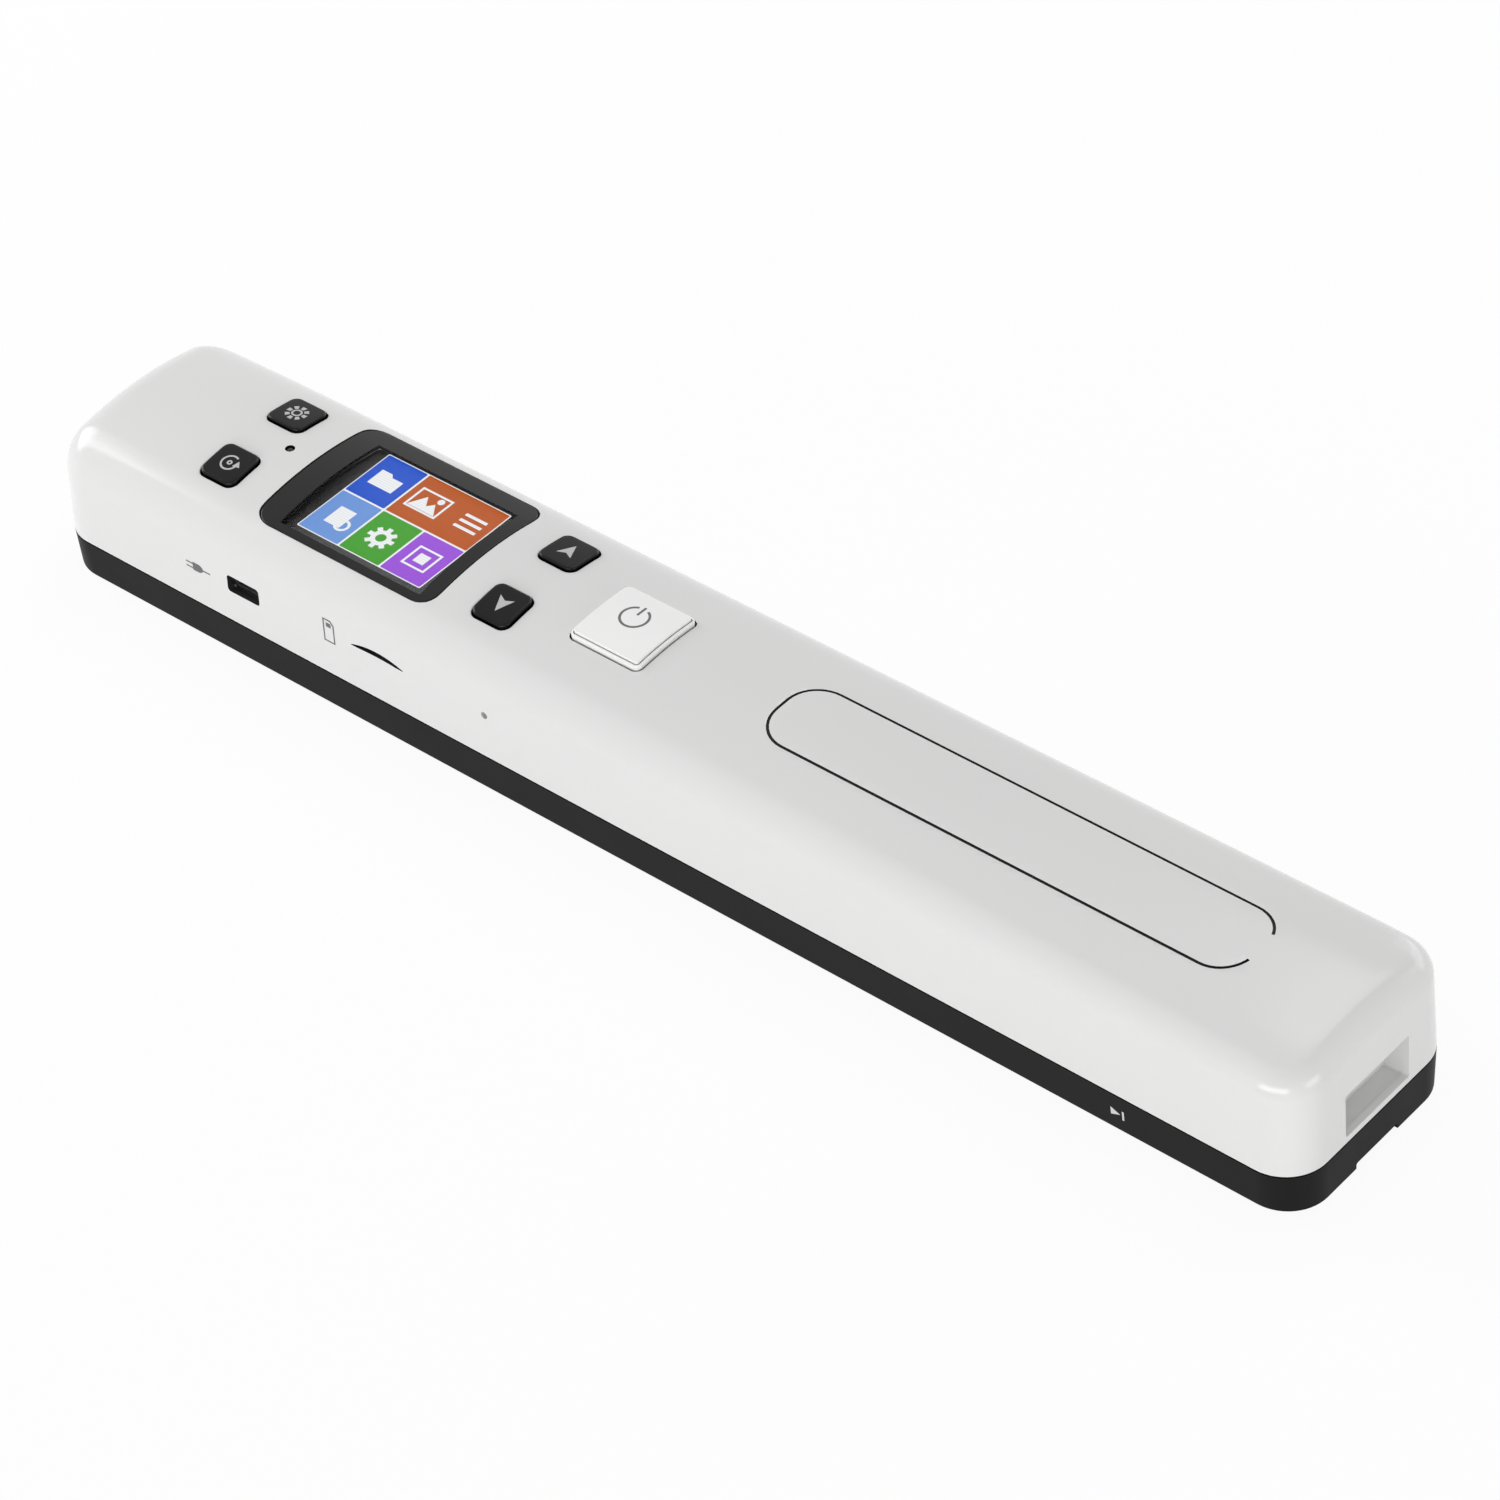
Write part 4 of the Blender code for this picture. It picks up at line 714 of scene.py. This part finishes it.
tray = {
    "bottom": 0.00035, "rim": 0.00785, "taper": 0.0005, "edge": 0.0003, "channelHalf": 0.0052, "channelTop": 0.00165,
    "skin": 0.0005, "lap": 0.00025, "chamfer": 0.0002, "rollerX": 0.092, "rollerY": 0.012,
    "windowHalfX": 0.0035, "windowHalfY": 0.0045, "gearEnd": 0.0985, "screwX": 0.116, "screwY": 0.013,
    "screwWell": 0.0021, "channelCorner": 0.0003, "leastEdge": 0.0001, "past": 0.001, "toolTop": 0.004,
    "open": 0.002, "far": 0.01,  # how far the cutters for the inside reach over the rim
}


def trayTaper(y, z):
    part = (z - tray["bottom"]) / (tray["rim"] - tray["bottom"])
    return y * (1 - tray["taper"] * max(0, 1 - part) / halfY)


def trayBlock(name, inset, top):
    low = tray["bottom"] + inset
    block = addSlab(name, (0, 0), (halfX - inset, halfY - inset), low, top)
    roundUprights(block, body["planRadius"] - inset, body["cornerSteps"])
    roundRims(block, [low], max(tray["edge"] - inset, tray["leastEdge"]), 4)
    return form(block, lambda x, y, z: (x, trayTaper(y, z), z))


def flareDown(tool, centre):  # the cutter widens at the underside, which chamfers the edge it leaves
    spread = tray["chamfer"]
    pick(tool, "FACE", lambda face: face.normal.z < -0.9)
    scale = [(size + 2 * spread) / size for size in tool.dimensions[:2]]
    raisePicked(-spread)
    bpy.ops.transform.resize(value=(*scale, 1), center_override=(*centre, 0))
    raisePicked(-tray["past"])
    leaveEdit()
    return tool


def addTrayTools():
    start, past = tray["bottom"] + tray["chamfer"], tray["past"]
    channel = addSlab("channel", (0, 0), (halfX + past, tray["channelHalf"]), start, tray["channelTop"])
    roundRims(channel, [tray["channelTop"]], tray["channelCorner"], 3)
    tools = [flareDown(channel, (0, 0))]
    for sideX in (-1, 1):
        for sideY in (-1, 1):
            inner = tray["rollerX"] - tray["windowHalfX"]
            geared = sideX < 0 < sideY
            outer = tray["gearEnd"] if geared else tray["rollerX"] + tray["windowHalfX"]
            centre = (sideX * (inner + outer) / 2, sideY * tray["rollerY"])
            reach = ((outer - inner) / 2, tray["windowHalfY"])
            window = addSlab("window", centre, reach, start, tray["toolTop"])
            roundUprights(window, tray["channelCorner"], 3)
            tools.append(flareDown(window, centre))
            spot = (sideX * tray["screwX"], sideY * tray["screwY"])
            well = addRod("well", spot, tray["screwWell"], start, tray["toolTop"])
            tools.append(flareDown(well, spot))
    return tools


trayShell = trayBlock("base_tray_shell", 0, tray["rim"])
carve(trayShell, [trayBlock("hollow", tray["skin"], tray["rim"] + tray["open"]), *addTrayTools()])
inside = mergedCopy("base_tray", "tray_inside")
carve(inside, [trayBlock("limit", tray["lap"], tray["rim"] + tray["far"])], "INTERSECT")
carve(trayShell, [inside], "UNION")
finish(give(trayShell, blackTray), "black_tray", "base_tray")
print("tray made with", len(trayShell.data.polygons), "faces")

# rollers

tyre = {
    "radius": 0.004, "bore": 0.0025, "width": 0.006, "edge": 0.0004, "ribs": 48, "rib": 0.00016,
    "furrowInset": 0.00003, "past": 0.001,
}


def addTyre(x, y):
    low, high = x - tyre["width"] / 2, x + tyre["width"] / 2
    ring = addRod("tyre", (y, tyre["radius"]), tyre["radius"], low, high, 2 * tyre["ribs"], "X")
    roundRims(ring, [low, high], tyre["edge"], 3, axis=0)

    def isFurrow(face):
        middle = face.calc_center_median()
        turn = math.atan2(middle.z - tyre["radius"], middle.y - y) / (math.pi / tyre["ribs"])
        return abs(face.normal.x) < 0.01 and math.floor(turn) % 2 == 0

    pick(ring, "FACE", isFurrow)
    bpy.ops.mesh.inset(thickness=tyre["furrowInset"], use_individual=True)
    bpy.ops.mesh.extrude_region_shrink_fatten(TRANSFORM_OT_shrink_fatten={"value": -tyre["rib"]})
    leaveEdit()
    past = tyre["past"]
    return carve(ring, [addRod("bore", (y, tyre["radius"]), tyre["bore"], low - past, high + past, axis="X")])


rollerAt = (tray["rollerX"], tray["rollerY"])
screwAt = (tray["screwX"], tray["screwY"])


def finishFour(first, at, slot, ending, rows):  # copies of one that stands near left take all four corners
    for far, (row, owner) in enumerate(rows):
        for right, side in enumerate(("_left", "_right")):
            copy = copied(first, row + side + ending, (2 * at[0] * right, 2 * at[1] * far, 0))
            finish(copy, slot, row + side, owner=owner)
    drop(first)


firstTyre = give(addTyre(-rollerAt[0], -rollerAt[1]), rollerRubber)
rows = (("front_tyre", "front_roller"), ("rear_tyre", "rear_roller"))
finishFour(firstTyre, rollerAt, "rubber", "_ribbed", rows)
print("tyres made")

# case screws

screw = {
    "head": 0.0018, "shank": 0.001, "low": 0.00075, "under": 0.00195, "top": 0.01675, "edge": 0.0004,
    "slotLong": 0.00105, "slotShort": 0.00026, "slotDeep": 0.0008, "slotBelow": 0.0005, "overlap": 0.0002,
    "slotTaper": (0.55, 0.8),
}


def addScrew(x, y):
    head = addRod("case_screw", (x, y), screw["head"], screw["low"], screw["under"])
    roundRims(head, [screw["low"]], screw["edge"], 4)
    low, high = screw["low"] - screw["slotBelow"], screw["low"] + screw["slotDeep"]
    lengthwise = (screw["slotLong"], screw["slotShort"])
    for reach, taper in ((lengthwise, screw["slotTaper"]), (lengthwise[::-1], screw["slotTaper"][::-1])):
        slot = addSlab("slot", (x, y), reach, low, high)
        pick(slot, "FACE", lambda face: face.normal.z > 0.9)
        bpy.ops.transform.resize(value=(*taper, 1), center_override=(x, y, 0))
        leaveEdit()
        carve(head, [slot])
    shank = addRod("shank", (x, y), screw["shank"], screw["under"] - screw["overlap"], screw["top"], 32)
    roundRims(shank, [screw["top"]], screw["edge"], 2)
    return carve(head, [shank], "UNION")


firstScrew = give(addScrew(-screwAt[0], -screwAt[1]), zincScrew)
finishFour(firstScrew, screwAt, "steel", "_cross", (("case_screw_near", "body"), ("case_screw_far", "body")))
print("screws made")

# keys


def addCap(name, at, look):
    x, y = at
    half, edge = look["size"] / 2, look["edge"]
    reach = half + keys["flangeReach"]
    under = crown(x, abs(y) + reach) - body["wall"] - keys["gap"]
    head, foot = body["height"] + look["proud"], under - keys["flangeThickness"]
    cap = addSlab(name, at, (half, half), under - keys["overlap"], head)
    roundUprights(cap, look["corner"], 8)
    roundRims(cap, [head], edge, 4)
    for axis, count in ((1, 6), (0, 4)):
        cutAcross(cap, axis, steps(at[axis], half * 0.7, count))
    rim = head - edge - tiny
    form(cap, lambda u, v, z: (u, v, z + crown(u, v) - body["height"]) if z > rim else (u, v, z))
    flange = addSlab("flange", at, (reach, reach), foot, under)
    roundUprights(flange, look["corner"], 4)
    stem = addRod("stem", at, keys["stemRadius"], keys["stemLow"], (foot + under) / 2, 32)
    return carve(cap, [flange, stem], "UNION")


def addStroke(at, radius, width, span, sides=48, keep=None):  # a ring, or the part of it that keep passes
    clearPick()
    low, high = span
    bpy.ops.mesh.primitive_circle_add(vertices=sides, radius=radius, location=(*at, low))
    ring = settle(bpy.context.active_object)
    if keep:
        pick(ring, "VERT", lambda vertex: not keep(vertex.co.x - at[0], vertex.co.y - at[1]))
        bpy.ops.mesh.delete(type="VERT")
        leaveEdit()
    pick(ring, "EDGE")
    bpy.ops.mesh.extrude_edges_move(TRANSFORM_OT_translate={"value": (0, 0, high - low)})
    leaveEdit()
    applyModifier(ring, "SOLIDIFY", thickness=width, offset=0)
    return outward(ring)


def addPlate(spots, span):  # a flat outline, filled and raised
    clearPick()
    low, high = span
    bpy.ops.mesh.primitive_circle_add(vertices=len(spots), radius=0.001, fill_type="NGON", location=(0, 0, low))
    plate = settle(bpy.context.active_object)
    for vertex, (x, y) in zip(plate.data.vertices, spots):
        vertex.co = (x, y, low)
    pickAll(plate)
    raisePicked(high - low)
    leaveEdit()
    return outward(plate)


def bar(middle, size):  # the outline of an upright rectangle
    (x, y), (w, h) = middle, size
    return [(x - w / 2, y - h / 2), (x + w / 2, y - h / 2), (x + w / 2, y + h / 2), (x - w / 2, y + h / 2)]


def outline(*spots):  # given in tenths of a millimetre
    return [(x / 10000, y / 10000) for x, y in spots]


def put(spots, at, degrees=0):
    turn = math.radians(degrees)
    cos, sin = math.cos(turn), math.sin(turn)
    return [(x * cos - y * sin + at[0], x * sin + y * cos + at[1]) for x, y in spots]


ink = {"thickness": 0.00004, "keyStroke": 0.00034, "scanStroke": 0.00042, "portStroke": 0.00022}


def inkSpan(level):  # half of the ink is sunk into what it is printed on
    return level - ink["thickness"] / 2, level + ink["thickness"] / 2


def addKeySign(name, at):  # a generic sign: an arrowhead, a turning arrow or a rosette
    span, width = inkSpan(keys["proud"]), ink["keyStroke"]
    if name in ("key_up", "key_down"):
        arrow = outline((0, 18), (-15, -14), (0, -7), (15, -14))
        parts = [addPlate(put(arrow, at, 0 if name == "key_up" else 180), span)]
    elif name == "key_back":
        ring = addStroke(at, 0.0015, width, span, keep=lambda x, y: x < 0.0008 or y < 0)
        tip = (at[0] + 0.0015, at[1] + 0.0002)
        head = addPlate(put(outline((0, 8), (-7, -5), (7, -5)), tip, 12), span)
        parts = [ring, head, addStroke(at, 0.00035, width * 0.9, span, 24)]
    else:
        parts = [addStroke(at, 0.0008, width, span, 32)]
        petal = outline((-4, -3), (4, -4.5), (4, 4.5), (-4, 3))
        for i in range(8):
            spot = put([(0.0016, 0)], at, 45 * i)[0]
            parts.append(addPlate(put(petal, spot, 45 * i), span))
    return form(joined(parts, "sign_" + name), onCrown)


for name, (x, y, owner) in keys["places"].items():
    finish(give(addCap(name + "_cap", (x, y), keys), blackKey), "black_key", name, owner=owner)
    finish(give(addKeySign(name, (x, y)), keyPrint), "white_plastic", owner=owner)


# the scan key is a bezel with a raised face set into it, and a fine groove between the two
def addScanBlock(name, spare, low, high, cuts, edge=0):  # as wide as the face and the spare, along the crown
    x, half = scanKey["x"], scanKey["size"] / 2 - scanKey["inset"]
    reach = half + spare
    block = addSlab(name, (x, 0), (reach, reach), low, high)
    roundUprights(block, scanKey["corner"] - scanKey["inset"] - scanKey["groove"] + spare, 6)
    if edge:
        roundRims(block, [high], edge, 3)
    cutAcross(block, 1, steps(0, half * 0.9, cuts))
    return form(block, onCrown)


bezel = give(addCap("scan_key_bezel", (scanKey["x"], 0), scanKey), whiteKey)
# the room leaves painted shade on the walls and floor of the groove round the face
room = addScanBlock("room", scanKey["groove"], -scanKey["sunk"], scanKey["roomTop"], 8)
finish(carve(bezel, [give(room, paintedGapShade)]), "white_key", "scan_key", owner="scan_button")
foot, head = -scanKey["sunk"] - scanKey["overlap"], scanKey["faceProud"]
keyFace = addScanBlock("scan_key_face", 0, foot, head, 10, scanKey["faceEdge"])
finish(give(keyFace, whiteKey), "white_key", owner="scan_button")
signAt, span, width = (scanKey["x"] - 0.0006, 0.0012), inkSpan(head), ink["scanStroke"]
ring = addStroke(signAt, 0.0024, width, span, 64, lambda x, y: abs(x) > 0.0009 or y < 0)
stroke = addPlate(put(bar((0, 0.0017), (width, 0.0022)), signAt), span)
scanSign = form(joined([ring, stroke], "sign_scan_key"), onCrown)
finish(give(scanSign, greyPrint), "black_key", owner="scan_button")
print("keys made")

# display


def addDisplayPlate(name, inset, low, high):  # and the places of the cuts that let it follow the crown
    reach = [size / 2 - inset for size in display["size"]]
    plate = addSlab(name, (display["x"], 0), reach, low, high)
    roundUprights(plate, display["corner"] - inset, 8)
    return plate, steps(0, reach[1] * 0.94, 20)


def addLens():  # only its middle is clear
    lens, cuts = addDisplayPlate("display_pane", display["gap"], -display["thickness"], 0)
    roundRims(lens, [0], display["edge"], 3)
    lowX, highX, lowY, highY = display["clear"]
    cutAcross(lens, 0, (lowX, highX))
    cutAcross(lens, 1, sorted([lowY, highY, *cuts]))

    def isClear(face):
        middle = face.calc_center_median()
        return abs(face.normal.z) > 0.9 and lowX < middle.x < highX and lowY < middle.y < highY

    give(lens, paneInk, lensAcrylic)
    pick(lens, "FACE", isClear)
    colourPicked(lens, 1)
    return form(lens, onCrown)


def addBorder():  # the printed border, with the step of its window
    inset, head = display["gap"] + display["borderInset"], -display["thickness"] - display["borderSunk"]
    border, cuts = addDisplayPlate("display_border", inset, head - display["border"], head)
    lowX, highX, lowY, highY = display["frame"]
    below, above = display["holeReach"]
    hole = addBlock("hole", (lowX, lowY, head - below), (highX, highY, head + above))
    roundUprights(hole, display["holeCorner"], 4)
    carve(give(border, borderInk), [give(hole, keyPrint)])
    cutAcross(border, 1, cuts)
    return form(border, onCrown)


finish(addLens(), "display_acrylic", "display_window")
finish(addBorder(), "black_inner")


def makeLit(name, colours):  # a lit field of the panel: its own light, with the faint rows of its cells
    return makeMaterial("lit_" + name, {
        "colours": colours, "tints": "Emission Color", "bands": (0.5, "Y", 0.0),
        "Roughness": 0.6, "Specular IOR Level": 0.1, "Base Color": tone("#101012"), "Emission Strength": 1.0,
    })


screen = {
    "x": -0.0648, "y": 0.00045, "size": (0.0272, 0.0221), "base": 0.0261, "layer": 0.00003, "gap": 0.0004,
    "corner": 0.0002,
}
tiles = {  # dark and light of its rows, and shares of the field: low x, high x, low y, high y
    "blue": ("#154dbf #1752cc", 0, 1 / 3, 0.5, 1), "amber": ("#af500e #bb560f", 1 / 3, 1, 0.5, 1),
    "sky": ("#658ece #6c98dc", 0, 1 / 3, 0, 0.5), "green": ("#3c9623 #40a026", 1 / 3, 2 / 3, 0, 0.5),
    "violet": ("#924bce #9c50dc", 2 / 3, 1, 0, 0.5),
}
litWhite = makeLit("white", "#e1e3e5 #f0f2f4")


def screenSpot(shareX, shareY):
    sizeX, sizeY = screen["size"]
    return screen["x"] + sizeX * (shareX - 0.5), screen["y"] + sizeY * (shareY - 0.5)


def addField(name, box, gap, layer, look):  # one thin lit layer of the panel
    x0, x1, y0, y1 = box
    (lowX, lowY), (highX, highY) = screenSpot(x0, y0), screenSpot(x1, y1)
    low, high = (screen["base"] + screen["layer"] * i for i in (layer, layer + 1))
    lit = addBlock(name, (lowX + gap, lowY + gap, low), (highX - gap, highY - gap, high))
    roundUprights(lit, screen["corner"], 2)
    finish(give(lit, look), "lit_panel")


addField("menu_field", (0, 1, 0, 1), 0, 0, litWhite)
for name, (colours, *box) in tiles.items():
    addField("menu_tile_" + name, box, screen["gap"] / 2, 1, makeLit(name, colours))


def tileMiddle(name):
    _, x0, x1, y0, y1 = tiles[name]
    return screenSpot((x0 + x1) / 2, (y0 + y1) / 2)


def frameBars(at, size, width):  # four bars round a rectangle
    (x, y), (w, h) = at, size
    level = [bar((x, y + side * h / 2), (w + width, width)) for side in (-1, 1)]
    return level + [bar((x + side * w / 2, y), (width, h)) for side in (-1, 1)]


def addSigns(name, plates, rings=()):  # white signs on one tile, made as one piece
    span = [screen["base"] + screen["layer"] * i for i in (2, 3)]
    parts = [addPlate(spots, span) for spots in plates]
    parts += [addStroke(at, radius, width, span, 32) for at, radius, width in rings]
    finish(give(joined(parts, "menu_sign_" + name), litWhite), "lit_panel")


folder = outline((-26, -19), (26, -19), (26, 12), (2, 12), (-4, 19), (-26, 19))
hills = outline((-29, -21), (29, -21), (12, 3), (2, -9), (-11, 11))
addSigns("folder", [put(folder, tileMiddle("blue"))])
at = tileMiddle("amber")  # a picture of hills under a sun, and three bars beside it
left, right = (at[0] - 0.0042, at[1]), (at[0] + 0.005, at[1])
bars = [bar((right[0], right[1] + y), (0.0046, 0.0006)) for y in (-0.0015, 0, 0.0015)]
sun = ((left[0] + 0.0016, left[1] + 0.0013), 0.00035, 0.0006)
addSigns("picture", [*frameBars(left, (0.0064, 0.0048), 0.0004), put(hills, left), *bars], [sun])
at = tileMiddle("sky")  # a sheet with a lens over it
addSigns("sheet", [bar(at, (0.0034, 0.0044))], [((at[0] + 0.0017, at[1] - 0.0014), 0.0012, 0.0005)])
at = tileMiddle("green")  # a toothed wheel
addSigns("wheel", [put(bar((0, 0.0022), (0.0009, 0.0009)), at, 45 * i) for i in range(8)], [(at, 0.0014, 0.0009)])
at = tileMiddle("violet")  # a card in its frame
addSigns("card", [*frameBars(at, (0.0046, 0.0046), 0.0004), bar(at, (0.0022, 0.0022))])
print("display made")

# status light, and signs on the near side

pipe = {
    "radius": 0.00055, "low": 0.0206, "flange": 0.0013, "flangeHigh": 0.0212, "overlap": 0.0003, "sunk": 0.0002,
    "edge": 0.0002,
}
head = crown(*lightHole["at"]) - pipe["sunk"]
rod = addRod("status_pipe", lightHole["at"], pipe["radius"], pipe["flangeHigh"] - pipe["overlap"], head, 32)
roundRims(rod, [head], pipe["edge"], 3)
carve(rod, [addRod("flange", lightHole["at"], pipe["flange"], pipe["low"], pipe["flangeHigh"], 32)], "UNION")
finish(give(rod, smokedPipe), "clear_acrylic", "status_light_pipe")


def nearWall(z):  # where the cover's near side stands at that height
    return -wallHalves(z)[1]


def nearTray(z):
    return trayTaper(-halfY, z)


def standUp(parts, name, wall):  # flat parts are stood up against a wall on the near side
    return outward(form(joined(parts, name), lambda x, y, z: (x, wall(y) - z, y)))


signs = {"plug": (-0.09385, 0.01555), "card": (-0.064, 0.0171), "edge": (0.0955, 0.0041)}
span, width = inkSpan(0), ink["portStroke"]
plugBody = outline((-12, -8), (3, -8), (10, -4), (10, 4), (3, 8), (-12, 8))
blades = [bar((-0.002, y), (0.0015, width)) for y in (0.00045, -0.00045)]
plug = [addPlate(put(spots, signs["plug"]), span) for spots in (plugBody, *blades, bar((0.0019, 0), (0.0017, width)))]
finish(give(standUp(plug, "sign_plug", nearWall), greyPrint), "black_key")
corners = outline((-12, -23), (12, -23), (12, 15), (5, 23), (-12, 23))  # a card with one cut corner
within = [(x * (1 - width / 0.0012), y * (1 - width / 0.0023)) for x, y in corners]
rim = carve(addPlate(put(corners, signs["card"]), span), [addPlate(put(within, signs["card"]), (-0.001, 0.001))])
contact = addPlate(put(bar((0, 0.0012), (0.001, 0.0008)), signs["card"]), span)
finish(give(standUp([rim, contact], "sign_card", nearWall), greyPrint), "black_key")
edge = (outline((-11, -8), (7, 0), (-11, 8)), bar((0.0012, 0), (0.00035, 0.0019)))  # an arrow up to a bar
edgeSign = standUp([addPlate(put(spots, signs["edge"]), span) for spots in edge], "sign_scan_edge", nearTray)
finish(give(edgeSign, whitePrint), "white_plastic")

# glass strip

glass = {"half": (0.109, 0.004), "low": 0.00165, "high": 0.00315, "edge": 0.0002}
strip = addSlab("scan_glass", (0, 0), glass["half"], glass["low"], glass["high"])
pick(strip, "EDGE")
bevelPicked(glass["edge"], 2)
finish(give(strip, windowGlass), "strip_glass", "window_glass")
print("ports, signs and glass made")

# stage, light and camera


def addGlimpse(tree):  # 1 where the camera sees the place, also mirrored or through something clear
    paths = addNode(tree, "LightPath", {}).outputs
    direct = {0: paths["Is Camera Ray"], 1: paths["Is Glossy Ray"]}
    seen = addNode(tree, "Math", {"operation": "MAXIMUM"}, direct).outputs[0]
    return addNode(tree, "Math", {"operation": "MAXIMUM"}, {0: seen, 1: paths["Is Transmission Ray"]}).outputs[0]


light = {"room": 0.42, "floorGlow": 0.93, "floorSize": 6}
floorPaper = startMaterial("matt_white_paper_sweep", {"Base Color": tone("#f4f4f4"), "Roughness": 0.9})
tree = floorPaper.node_tree
share = addNode(tree, "Math", {"operation": "MULTIPLY", 1: light["floorGlow"]}, {0: addGlimpse(tree)}).outputs[0]
glow = addNode(tree, "Emission", {}).outputs[0]  # white
paper = tree.nodes["Principled BSDF"].outputs[0]
blend = addNode(tree, "MixShader", {}, {0: share, 1: paper, 2: glow}).outputs[0]
tree.links.new(blend, tree.nodes["Material Output"].inputs["Surface"])
clearPick()
bpy.ops.mesh.primitive_plane_add(size=light["floorSize"], location=(0, 0, 0))
floor = give(bpy.context.active_object, floorPaper)
floor.name = "paper_floor"

world = bpy.data.worlds.new("softRoom")
scene.world = world
world.use_nodes = True
tree = world.node_tree
power = addNode(tree, "MapRange", {"To Min": light["room"], "To Max": 1.0}, {"Value": addGlimpse(tree)})
tree.nodes["Background"].inputs["Color"].default_value = tone("#ffffff")
tree.links.new(power.outputs["Result"], tree.nodes["Background"].inputs["Strength"])

softboxes = {  # place, size and watts
    "softbox_top": ((-0.05, 0.6, 0.95), (0.7, 0.7), 2.6),
    "softbox_left": ((-0.8, -0.1, 0.42), (0.5, 0.5), 3.4),
    "softbox_near": ((0.35, -1.35, 0.22), (1.5, 0.4), 10.0),
    "softbox_back": ((0.2, 1.2, 0.35), (1.2, 0.5), 3.0),
    "softbox_right": ((1.0, 0.0, 0.2), (0.5, 0.3), 1.4),
}
for name, (at, (width, height), watts) in softboxes.items():  # each faces the object
    lamp = bpy.data.lights.new(name, "AREA")
    lamp.shape = "RECTANGLE"
    lamp.size, lamp.size_y, lamp.energy = width, height, watts
    box = bpy.data.objects.new(name, lamp)
    scene.collection.objects.link(box)
    box.location = at
    box.rotation_mode = "QUATERNION"
    box.rotation_quaternion = (-box.location).to_track_quat("-Z", "Y")

view = {  # the photograph's view: where the camera stands, and its right, up and back directions
    "place": (0.45704, -0.47291, 0.59872),
    "right": (0.76148897, 0.64513107, -0.06277296),
    "up": (-0.39619128, 0.53991135, 0.74264945),
    "back": (0.51299807, -0.54064927, 0.66673185),
    "focal": 134, "nearest": 0.01, "farthest": 20,
}
cameraData = bpy.data.cameras.new("photoView")
camera = bpy.data.objects.new("photoView", cameraData)
scene.collection.objects.link(camera)
camera.matrix_world = Matrix((view["right"], view["up"], view["back"])).transposed().to_4x4()
camera.location = view["place"]
cameraData.lens = view["focal"]
cameraData.clip_start, cameraData.clip_end = view["nearest"], view["farthest"]
scene.camera = camera
scene.view_settings.view_transform = "Standard"
print("stage, light and camera set")
